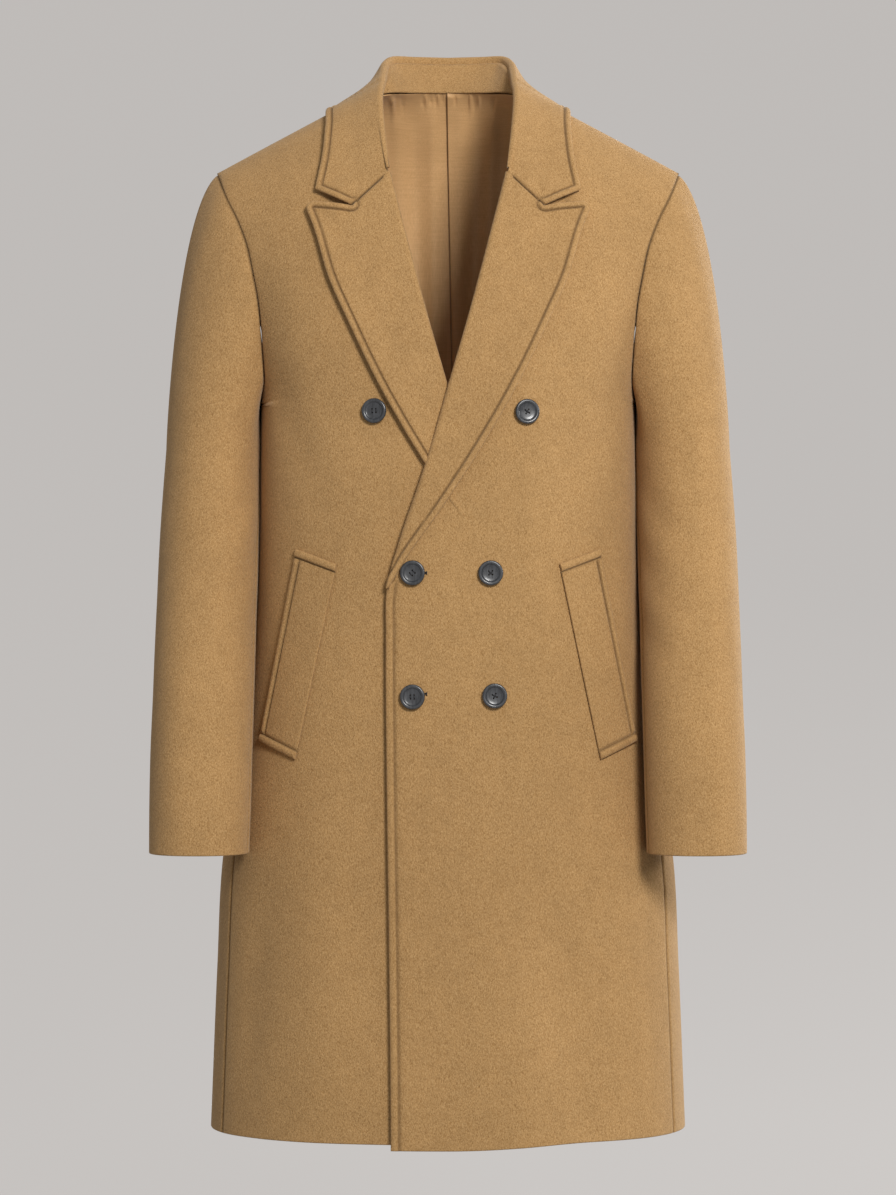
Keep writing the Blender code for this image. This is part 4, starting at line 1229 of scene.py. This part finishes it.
def button_mesh(material):
    """A sew-through button with a raised rim, a dished middle and four holes."""
    points, faces = lathe([(share * BUTTON_RADIUS, height) for share, height in BUTTON_PROFILE], BUTTON_SIDES)
    body = add_mesh("button_form", points, faces, material)
    for along in (-1, 1):
        for across in (-1, 1):
            points, faces = lathe([(0, 0.01), (HOLE_RADIUS, 0.01), (HOLE_RADIUS, -0.01), (0, -0.01)], 16)
            drill = add_mesh("drill", points, faces, material)
            drill.location = (along * HOLE_OFFSET, across * HOLE_OFFSET, 0)
            cut = body.modifiers.new("hole", "BOOLEAN")
            cut.object = drill
            cut.operation = "DIFFERENCE"
            cut.solver = "EXACT"
    graph = bpy.context.evaluated_depsgraph_get()
    data = bpy.data.meshes.new_from_object(body.evaluated_get(graph))
    for item in [o for o in bpy.data.objects if o.name.startswith(("button_form", "drill"))]:
        bpy.data.objects.remove(item)
    data.shade_smooth()
    sharp = data.attributes.new("sharp_edge", "BOOLEAN", "EDGE")
    work = bmesh.new()
    work.from_mesh(data)
    flags = [len(e.link_faces) == 2 and e.calc_face_angle(0) > 0.6 for e in work.edges]
    work.free()
    sharp.data.foreach_set("value", flags)
    return data


def thread_points(start, end, lift, steps=7):
    t = np.linspace(0, 1, steps)
    line = np.outer(1 - t, (*start, 0)) + np.outer(t, (*end, 0))
    line[:, 2] = lift * np.sin(math.pi * t) ** 0.6 - 0.0012 * (1 - np.sin(math.pi * t) ** 0.3)
    return line


def tube(line, radius, sides=6):
    along = unit(np.gradient(line, axis=0))
    side = unit(np.cross(along, (0.13, 0.21, 0.97)))
    out = np.cross(side, along)
    turns = np.linspace(0, 2 * math.pi, sides, endpoint=False)
    points = [
        point + radius * (math.cos(t) * side[k] + math.sin(t) * out[k])
        for k, point in enumerate(line)
        for t in turns
    ]
    faces = [
        (sides * k + m, sides * k + (m + 1) % sides, sides * (k + 1) + (m + 1) % sides, sides * (k + 1) + m)
        for k in range(len(line) - 1)
        for m in range(sides)
    ]
    last = sides * (len(line) - 1)
    faces.append(tuple(range(sides - 1, -1, -1)))
    faces.append(tuple(last + m for m in range(sides)))
    return points, faces


def join_parts(parts):
    points, faces = [], []
    for part_points, part_faces in parts:
        faces += [tuple(len(points) + k for k in face) for face in part_faces]
        points += list(part_points)
    return points, faces


def place_buttons(form, horn, thread):
    for name, x, z, over, spin, crossed in BUTTONS:
        side = -1 if x < 0 and not over else 1
        foot = on_front(x * side, z, 0.0, over) * (side, 1, 1)
        normal = unit(on_front(x * side, z, 0.01, over) * (side, 1, 1) - foot)
        foot = foot + normal * fold_height(foot[None], BODY_FOLDS)[0]
        right = unit(np.cross((0, 0, 1), normal))
        up = np.cross(normal, right)
        turn = math.radians(spin)
        cosine, sine = math.cos(turn), math.sin(turn)
        axes = np.stack([right * cosine + up * sine, up * cosine - right * sine, normal])
        item = bpy.data.objects.new(f"shown_{name}", form.copy())
        bpy.context.scene.collection.objects.link(item)
        points = np.array([v.co for v in item.data.vertices]) @ axes + foot + normal * BUTTON_LIFT
        item.data.vertices.foreach_set("co", points.reshape(-1))
        item.data.materials.clear()
        item.data.materials.append(horn)
        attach(item, "root")
        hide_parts(name)
        h = HOLE_OFFSET
        strands = [((-h, -h), (-h, h)), ((h, -h), (h, h))]
        if crossed:
            strands = [((-h, -h), (h, h)), ((-h, h), (h, -h))]
        parts = []
        for k, (start, end) in enumerate(strands):
            for shift in (-0.00028, 0.00028):
                sideways = (shift, -shift) if crossed and k == 0 else (shift, shift if crossed else 0)
                line = thread_points(np.add(start, sideways), np.add(end, sideways), 0.0005 + 0.0003 * k * crossed)
                parts.append(tube(line + (0, 0, FACE_HEIGHT), 0.00026))
        shank = [(0, 0.0), (0.0024, 0.0), (0.0019, -0.0009), (0.0024, -0.0022), (0, -0.0022)]
        parts.append(lathe(shank, 16))
        points, faces = join_parts(parts)
        points = np.array(points) @ axes + foot + normal * BUTTON_LIFT
        add_mesh(f"thread_{name}", points, faces, thread)


def add_buttonhole(name, x, z, material):
    """The end of a worked buttonhole that shows beside its button: short satin stitches round a slit."""
    parts = []
    for k in range(BUTTONHOLE_STITCHES):
        share = k / (BUTTONHOLE_STITCHES - 1)
        for up in (-1, 1):
            at_x = x + BUTTONHOLE_LENGTH * share
            line = np.array([(at_x, z + up * h) for h in (0.0001, 0.0007, 0.0013)])
            place = on_front(line[:, 0], line[:, 1], np.array([-0.0001, 0.0005, -0.0001]), True)
            parts.append(tube(place, 0.00028))
    bar = np.array([(x + BUTTONHOLE_LENGTH, z + h) for h in np.linspace(-0.0016, 0.0016, 5)])
    heights = np.array([-0.0002, 0.0006, 0.0008, 0.0006, -0.0002])
    parts.append(tube(on_front(bar[:, 0], bar[:, 1], heights, True), 0.0005))
    points, faces = join_parts(parts)
    points = np.array(points)
    points[:, 1] -= fold_height(points, BODY_FOLDS)
    add_mesh(name, points, faces, material)


# ---- Materials


class Nodes:
    """Adds nodes to a material and joins them in one call."""

    def __init__(self, material):
        material.use_nodes = True
        self.tree = material.node_tree
        self.shader = self.tree.nodes["Principled BSDF"]
        self.place = self.add("ShaderNodeTexCoord").outputs["Object"]

    def add(self, kind, inputs=None, **settings):
        node = self.tree.nodes.new(kind)
        for key, value in settings.items():
            setattr(node, key, value)
        for key, value in (inputs or {}).items():
            if isinstance(value, bpy.types.NodeSocket):
                self.tree.links.new(value, node.inputs[key])
            else:
                node.inputs[key].default_value = value
        return node

    def stretched(self, scale, turn=(0.0, 0.0, 0.0)):
        inputs = {"Vector": self.place, "Scale": scale, "Rotation": turn}
        return self.add("ShaderNodeMapping", inputs).outputs["Vector"]

    def noise(self, vector, scale, detail=2.0, roughness=0.5, distortion=0.0):
        inputs = {"Vector": vector, "Scale": scale, "Detail": detail, "Roughness": roughness}
        inputs["Distortion"] = distortion
        return self.add("ShaderNodeTexNoise", inputs).outputs["Fac"]

    def spread(self, value, low, high, to_low=0.0, to_high=1.0):
        inputs = {"Value": value, "From Min": low, "From Max": high, "To Min": to_low, "To Max": to_high}
        return self.add("ShaderNodeMapRange", inputs).outputs["Result"]

    def math(self, operation, a, b):
        return self.add("ShaderNodeMath", {0: a, 1: b}, operation=operation).outputs["Value"]

    def mix(self, share, a, b, blend="MIX"):
        node = self.add("ShaderNodeMix", data_type="RGBA", blend_type=blend)
        for socket, value in ((node.inputs[0], share), (node.inputs[6], a), (node.inputs[7], b)):
            if isinstance(value, bpy.types.NodeSocket):
                self.tree.links.new(value, socket)
            else:
                socket.default_value = value
        return node.outputs[2]

    def with_painted_shade(self, colour, shade):
        """The colour, darkened with painted shade where the mesh marks shade in its grooves and seams."""
        painted_shade = self.add("ShaderNodeAttribute", attribute_name="painted_shade").outputs["Fac"]
        return self.mix(self.math("MULTIPLY", painted_shade, shade), colour, PAINTED_SHADE_COLOUR)

    def join(self, value, name):
        self.tree.links.new(value, self.shader.inputs[name])

    def set(self, **values):
        for name, value in values.items():
            self.shader.inputs[name.replace("_", " ")].default_value = value


def wool_material():
    """Melton: short fibres felted together, in mixed tans."""
    material = bpy.data.materials.new("camel_melton")
    nodes = Nodes(material)
    fibres = nodes.noise(nodes.stretched((1.0, 1.0, 0.5), (0.0, 0.6, 0.0)), 1150.0, 3.0, 0.65, 0.5)
    tufts = nodes.noise(nodes.stretched((1.0, 1.0, 0.7), (0.0, -0.7, 0.0)), 560.0, 3.0, 0.6, 0.3)
    clouds = nodes.noise(nodes.place, 60.0, 3.0, 0.55)
    broad = nodes.noise(nodes.place, 9.0, 2.0, 0.5)
    mottle = nodes.mix(nodes.spread(tufts, 0.32, 0.68), (*WOOL_DARK, 1), (*WOOL_MIDDLE, 1))
    mottle = nodes.mix(nodes.spread(fibres, 0.38, 0.72), mottle, (*WOOL_LIGHT, 1))
    cloudy = nodes.spread(nodes.math("ADD", clouds, broad), 0.7, 1.3, 0.93, 1.06)
    shade = nodes.add("ShaderNodeCombineColor", {"Red": cloudy, "Green": cloudy, "Blue": cloudy}).outputs["Color"]
    # the mottled wool, darkened with painted shade in its grooves and along its seams
    nodes.join(nodes.with_painted_shade(nodes.mix(1.0, mottle, shade, "MULTIPLY"), CREASE_PAINTED_SHADE), "Base Color")
    height = nodes.math("ADD", nodes.math("MULTIPLY", fibres, 0.55), nodes.math("MULTIPLY", tufts, 0.9))
    bumped = nodes.add("ShaderNodeBump", {"Height": height, "Strength": WOOL_BUMP, "Distance": 0.0011})
    nodes.join(bumped.outputs["Normal"], "Normal")
    nodes.set(Roughness=0.95, Sheen_Weight=0.22, Sheen_Roughness=0.45, Sheen_Tint=(1.0, 0.86, 0.68, 1.0))
    nodes.set(Specular_IOR_Level=0.12)
    return material


def satin_material():
    material = bpy.data.materials.new("lining_satin")
    nodes = Nodes(material)
    warp = nodes.noise(nodes.stretched((1.0, 1.0, 0.02)), 1800.0, 2.0, 0.5)
    weft = nodes.noise(nodes.stretched((0.03, 0.03, 1.0)), 1500.0, 2.0, 0.5)
    broad = nodes.noise(nodes.stretched((1.0, 1.0, 0.35)), 14.0, 2.0, 0.5)
    threads = nodes.math("ADD", nodes.math("MULTIPLY", warp, 0.6), nodes.math("MULTIPLY", weft, 0.4))
    tone = nodes.mix(nodes.spread(threads, 0.35, 0.65), (*SATIN_DARK, 1), (*SATIN_LIGHT, 1))
    tone = nodes.mix(nodes.spread(broad, 0.3, 0.7, 0.0, 0.25), tone, (*SATIN_DARK, 1))
    # the satin, darkened with painted shade along the pleat
    nodes.join(nodes.with_painted_shade(tone, 0.85), "Base Color")
    bumped = nodes.add("ShaderNodeBump", {"Height": threads, "Strength": 0.06, "Distance": 0.0002})
    nodes.join(bumped.outputs["Normal"], "Normal")
    nodes.join(nodes.spread(threads, 0.3, 0.7, 0.36, 0.46), "Roughness")
    nodes.set(Sheen_Weight=0.15, Anisotropic=0.5, Specular_IOR_Level=0.45)
    return material


def horn_material():
    material = bpy.data.materials.new("button_horn")
    nodes = Nodes(material)
    grain = nodes.noise(nodes.stretched((1.0, 1.0, 0.25), (0.0, 0.4, 0.3)), 260.0, 4.0, 0.6, 1.2)
    scratch = nodes.noise(nodes.stretched((0.15, 1.0, 1.0), (0.0, 0.8, 0.0)), 2400.0, 2.0, 0.5)
    nodes.join(nodes.mix(nodes.spread(grain, 0.35, 0.7), (*HORN_DARK, 1), (*HORN_LIGHT, 1)), "Base Color")
    nodes.join(nodes.spread(nodes.math("ADD", grain, scratch), 0.6, 1.4, 0.24, 0.42), "Roughness")
    bumped = nodes.add("ShaderNodeBump", {"Height": scratch, "Strength": 0.06, "Distance": 0.0002})
    nodes.join(bumped.outputs["Normal"], "Normal")
    nodes.set(Specular_IOR_Level=0.55, Coat_Weight=0.25, Coat_Roughness=0.18)
    return material


def thread_material(name, dark, light, roughness=0.7):
    material = bpy.data.materials.new(name)
    nodes = Nodes(material)
    strands = nodes.noise(nodes.stretched((1.0, 1.0, 0.4), (0.5, 0.3, 0.0)), 2600.0, 2.0, 0.5)
    nodes.join(nodes.mix(strands, (*dark, 1), (*light, 1)), "Base Color")
    bumped = nodes.add("ShaderNodeBump", {"Height": strands, "Strength": 0.4, "Distance": 0.0002})
    nodes.join(bumped.outputs["Normal"], "Normal")
    nodes.set(Roughness=roughness)
    return material


# ---- The coat

WOOL = wool_material()
SATIN = satin_material()
HORN = horn_material()
BUTTON_THREAD = thread_material("button_thread", (0.012, 0.012, 0.014), (0.04, 0.04, 0.045))
SEWING_THREAD = thread_material("sewing_thread", THREAD_DARK, THREAD_LIGHT, 0.85)
STAND_THREAD = thread_material("stand_thread", WOOL_MIDDLE, WOOL_LIGHT, 0.8)


CHEST_ROW = len(lower_levels())
PIT = (on_surface(NOTCH_PIT[0], True), *NOTCH_PIT[1:])


def build_fronts():
    for over, side, mirrored in SIDES:
        grid = front_grid(over)
        below = grid[grid[:, 0, 2] < BREAK_Z + 0.004, 0]
        above = grid[grid[:, 0, 2] >= BREAK_Z, 0]
        # the hollow under the notch, which is also darkened with painted shade
        pit = fold_height(grid, [PIT])
        item = shell(f"cloth_front_{side}", grid, CLOTH, WOOL, f"front_{side}", mirrored=mirrored,
                     rolled=[grid[0], above], stitched=[below], seams=[grid[:CHEST_ROW, -1]],
                     shallow=[grid[CHEST_ROW:, -1], grid[-1]], folds=BODY_FOLDS,
                     extra=pit, shade=PIT_PAINTED_SHADE * np.clip(pit / NOTCH_PIT[2], 0, 1),
                     at_shoulder=True, groove_at=FRONT_GROOVE_AT)
        if over:
            x, z = below[:, 0] + FRONT_GROOVE_AT, below[:, 2]
            plan = np.stack([x, z], axis=1)[1:]
            sewing = stitches_on_front("stitches_front_edge", plan, -GROOVE_DEPTH * 0.95, True, 1, SEWING_THREAD)


def build_back():
    grid = back_grid()
    item = shell("cloth_back", grid, CLOTH, WOOL, "back", rolled=[grid[0]],
                 seams=[grid[:CHEST_ROW, 0], grid[:CHEST_ROW, -1]],
                 shallow=[grid[CHEST_ROW:, 0], grid[CHEST_ROW:, -1], grid[-1]], folds=BODY_FOLDS,
                 at_shoulder=True)


def build_sleeves():
    upper = sleeve_grid(BACK_SLEEVE_SEAM - 1, FRONT_SLEEVE_SEAM, SLEEVE_UPPER_COLUMNS)
    under = sleeve_grid(FRONT_SLEEVE_SEAM, BACK_SLEEVE_SEAM, SLEEVE_UNDER_COLUMNS)
    for _, side, mirrored in SIDES:
        folds = sleeve_folds(mirrored)
        folds = [(line * (-1 if mirrored else 1, 1, 1), width, rise) for line, width, rise in folds]
        for part, grid in (("upper", upper), ("under", under)):
            node = f"sleeve_{side}_{part}"
            item = shell(f"cloth_{node}", grid, CLOTH, WOOL, node, mirrored=mirrored,
                         rolled=[grid[0]], seams=[grid[:, 0], grid[:, -1]],
                         shallow=[grid[-1 - len(TURN_IN)]], folds=folds)


def build_lapels():
    outline, top = lapel_outline()
    for over, side, mirrored in SIDES:
        grid = lapel_grid(over)
        corner = np.argmin(np.linalg.norm(grid[-1][:, [0, 2]] - beside_gorge(GORGE_END, -1), axis=1))
        free = np.concatenate([grid[:, -1], grid[-1, corner:-1][::-1]])
        item = shell(f"cloth_lapel_{side}", grid, CLOTH, WOOL, f"lapel_{side}", mirrored=mirrored,
                     stitched=[grid[:, -1], grid[-1, corner:]],
                     seams=[grid[-1, FACING_STEPS + ROLL_STEPS + 2 : corner + 1]],
                     folds=BODY_FOLDS, lift=edge_lift(grid, free, (LAPEL_LIFT_START, LIFT_START)))
        edge = np.concatenate([outline, top[1:]])
        edge = sample(edge, np.linspace(0.012, lengths(edge)[-1] - 0.001, 400))
        plan = inset(edge, GROOVE_AT)
        out = LAYER + CLOTH - GROOVE_DEPTH * 0.8
        flip = -1 if mirrored else 1
        sewing = stitches_on_front(f"stitches_lapel_{side}", plan, out, over, flip, SEWING_THREAD)


def build_collar():
    grid = collar_grid()
    last = grid[:, -1]
    corner = np.argmin(np.linalg.norm(last[:, [0, 2]] - beside_gorge(GORGE_END, 1), axis=1))
    first_fall = 7 + FOLD_STEPS
    seams = [grid[0], grid[first_fall:corner + 1, 0], grid[first_fall:corner + 1, -1]]
    free = np.concatenate([grid[corner:, 0], grid[-1, 1:], grid[corner:-1, -1][::-1]])
    item = shell("cloth_collar_fall", grid, COLLAR_CLOTH, WOOL, "collar_fall",
                 stitched=[grid[-1], grid[corner:, 0], grid[corner:, -1]], seams=seams,
                 lift=edge_lift(grid, free, (LIFT_START, LIFT_START)))
    stand = stand_grid()
    item = shell("cloth_collar_stand", stand, COLLAR_CLOTH, WOOL, "collar_stand", rolled=[stand[0]])
    normals = grid_normals(stand)
    across = lengths(stand[:, stand.shape[1] // 2])
    row = np.argmin(np.abs(across - (across[-2] - STAND_STITCHES)))
    line = stand[row] + normals[row] * 0.0001
    add_stitches("stitches_collar_stand", line, normals[row], STAND_THREAD, STAND_SEWING)


def build_welts():
    for over, side, mirrored in SIDES:
        grid = welt_grid(over)
        ends = nearest(grid, [grid[0], grid[-1]])
        outer = nearest(grid, [grid[:, -1]])
        bands = edge_profile(ends, WELT_BAND) * WELT_PUFF
        inside = smooth_step(WELT_BAND, WELT_BAND + WELT_BLEND, ends)
        # painted shade in the grooves round the welt's end bands and along its stitches
        shade = np.maximum(np.exp(-(((ends - WELT_BAND) / PAINTED_SHADE_WIDTH) ** 2)),
                           inside * np.exp(-(((outer - GROOVE_AT) / PAINTED_SHADE_WIDTH) ** 2)))
        beside = edge_profile(outer, GROOVE_AT) * inside
        item = shell(f"cloth_welt_{side}", grid, WELT_CLOTH, WOOL, f"welt_{side}", mirrored=mirrored,
                     rolled=[grid[0], grid[-1], grid[:, 0], grid[:, -1]], folds=BODY_FOLDS,
                     extra=bands + beside, shade=STITCH_PAINTED_SHADE * shade)


def build_lining():
    grid = lining_grid()
    x, z = grid[..., 0], grid[..., 2]
    height = np.full_like(x, LINING_FULLNESS)
    for at, lean, width, rise in LINING_FOLDS:
        height += rise * np.exp(-(((x - at - lean * z) / width) ** 2))
    below_top = z[-1][None] - z
    height *= smooth_step(0.0, 0.03, below_top) * smooth_step(-1.0, -0.75, z)
    for at, width, rise, reach in LINING_GATHERS:
        height += rise * np.exp(-(((x - at) / width) ** 2)) * np.exp(-(((below_top - 0.006) / reach) ** 2))
    beside = x - PLEAT_X - PLEAT_LEAN * z
    height += PLEAT_DEPTH * (1 - smooth_step(0.0006, PLEAT_FADE, beside)) * smooth_step(-0.0010, 0.0002, beside)
    height = np.maximum(height, -0.0004) * smooth_step(-0.0005, 0.005, below_top)
    beside_fold = [fold_height(grid + (step, 0, 0), BODY_FOLDS) for step in LINING_LOOK]
    grid = grid - grid_normals(grid) * (np.min(beside_fold, axis=0) - LINING_EASE)[..., None]
    # a painted shadow line beside the pleat's fold
    line = PLEAT_PAINTED_SHADOW * np.exp(-(((beside + PLEAT_SHADOW_LINE[0]) / PLEAT_SHADOW_LINE[1]) ** 2))
    line = line * smooth_step(0.0, 0.004, below_top)
    item = shell("cloth_lining_back", grid, LINING_CLOTH, SATIN, "lining_back", extra=height, shade=line)


build_fronts()
build_back()
build_sleeves()
build_lapels()
build_collar()
build_welts()
build_lining()
place_buttons(button_mesh(HORN), HORN, BUTTON_THREAD)
for number, (x, z) in enumerate(BUTTONHOLES):
    add_buttonhole(f"buttonhole_{number + 1}", x, z, BUTTON_THREAD)

# ---- The studio


def area_light(name, place, target_z, size, power, colour):
    data = bpy.data.lights.new(name, "AREA")
    data.shape = "DISK"
    data.size = size
    data.energy = power
    data.color = colour
    item = bpy.data.objects.new(name, data)
    item.location = place
    item.rotation_euler = (Vector((0, 0, target_z)) - Vector(place)).to_track_quat("-Z", "Y").to_euler()
    bpy.context.scene.collection.objects.link(item)


def build_studio():
    """A pale floor that sweeps up all round, far behind the coat and the camera."""
    paint = bpy.data.materials.new("studio_paint")
    nodes = Nodes(paint)
    speck = nodes.noise(nodes.place, 40.0, 2.0)
    nodes.join(nodes.mix(speck, (*STUDIO_PAINT, 1), (*[c * 1.02 for c in STUDIO_PAINT], 1)), "Base Color")
    nodes.set(Roughness=0.9, Emission_Color=(*STUDIO_GLOW, 1), Emission_Strength=1.0)
    bend = np.linspace(0, math.pi / 2, 24)
    profile = [(0.0, FLOOR_Z), (STUDIO_RADIUS - SWEEP, FLOOR_Z)]
    for t in bend[1:]:
        profile.append((STUDIO_RADIUS - SWEEP + SWEEP * math.sin(t), FLOOR_Z + SWEEP * (1 - math.cos(t))))
    profile += [(STUDIO_RADIUS, STUDIO_HEIGHT)]
    points, faces = lathe(profile, 128)
    faces = [face[::-1] for face in faces]
    data = bpy.data.meshes.new("studio")
    data.from_pydata(points, [], faces)
    data.shade_smooth()
    data.materials.append(paint)
    item = bpy.data.objects.new("studio", data)
    bpy.context.scene.collection.objects.link(item)
    item.visible_diffuse = False  # the glowing paint is seen, and doesn't light the coat
    world = bpy.data.worlds.new("studio_world")
    bpy.context.scene.world = world
    world.use_nodes = True
    world.node_tree.nodes["Background"].inputs["Color"].default_value = (*WORLD_COLOUR, 1)
    world.node_tree.nodes["Background"].inputs["Strength"].default_value = WORLD_STRENGTH
    for light in LIGHTS:
        area_light(*light)
    bpy.context.scene.view_settings.view_transform = "Standard"


def add_camera():
    data = bpy.data.cameras.new("camera")
    data.sensor_width = SENSOR
    data.lens = FOCAL_PIXELS * SENSOR / PHOTO_HEIGHT
    item = bpy.data.objects.new("camera", data)
    item.location = (0.0, -CAMERA_DISTANCE, CAMERA_Z)
    item.rotation_euler = (math.pi / 2, 0.0, 0.0)
    bpy.context.scene.collection.objects.link(item)
    bpy.context.scene.camera = item


build_studio()
add_camera()
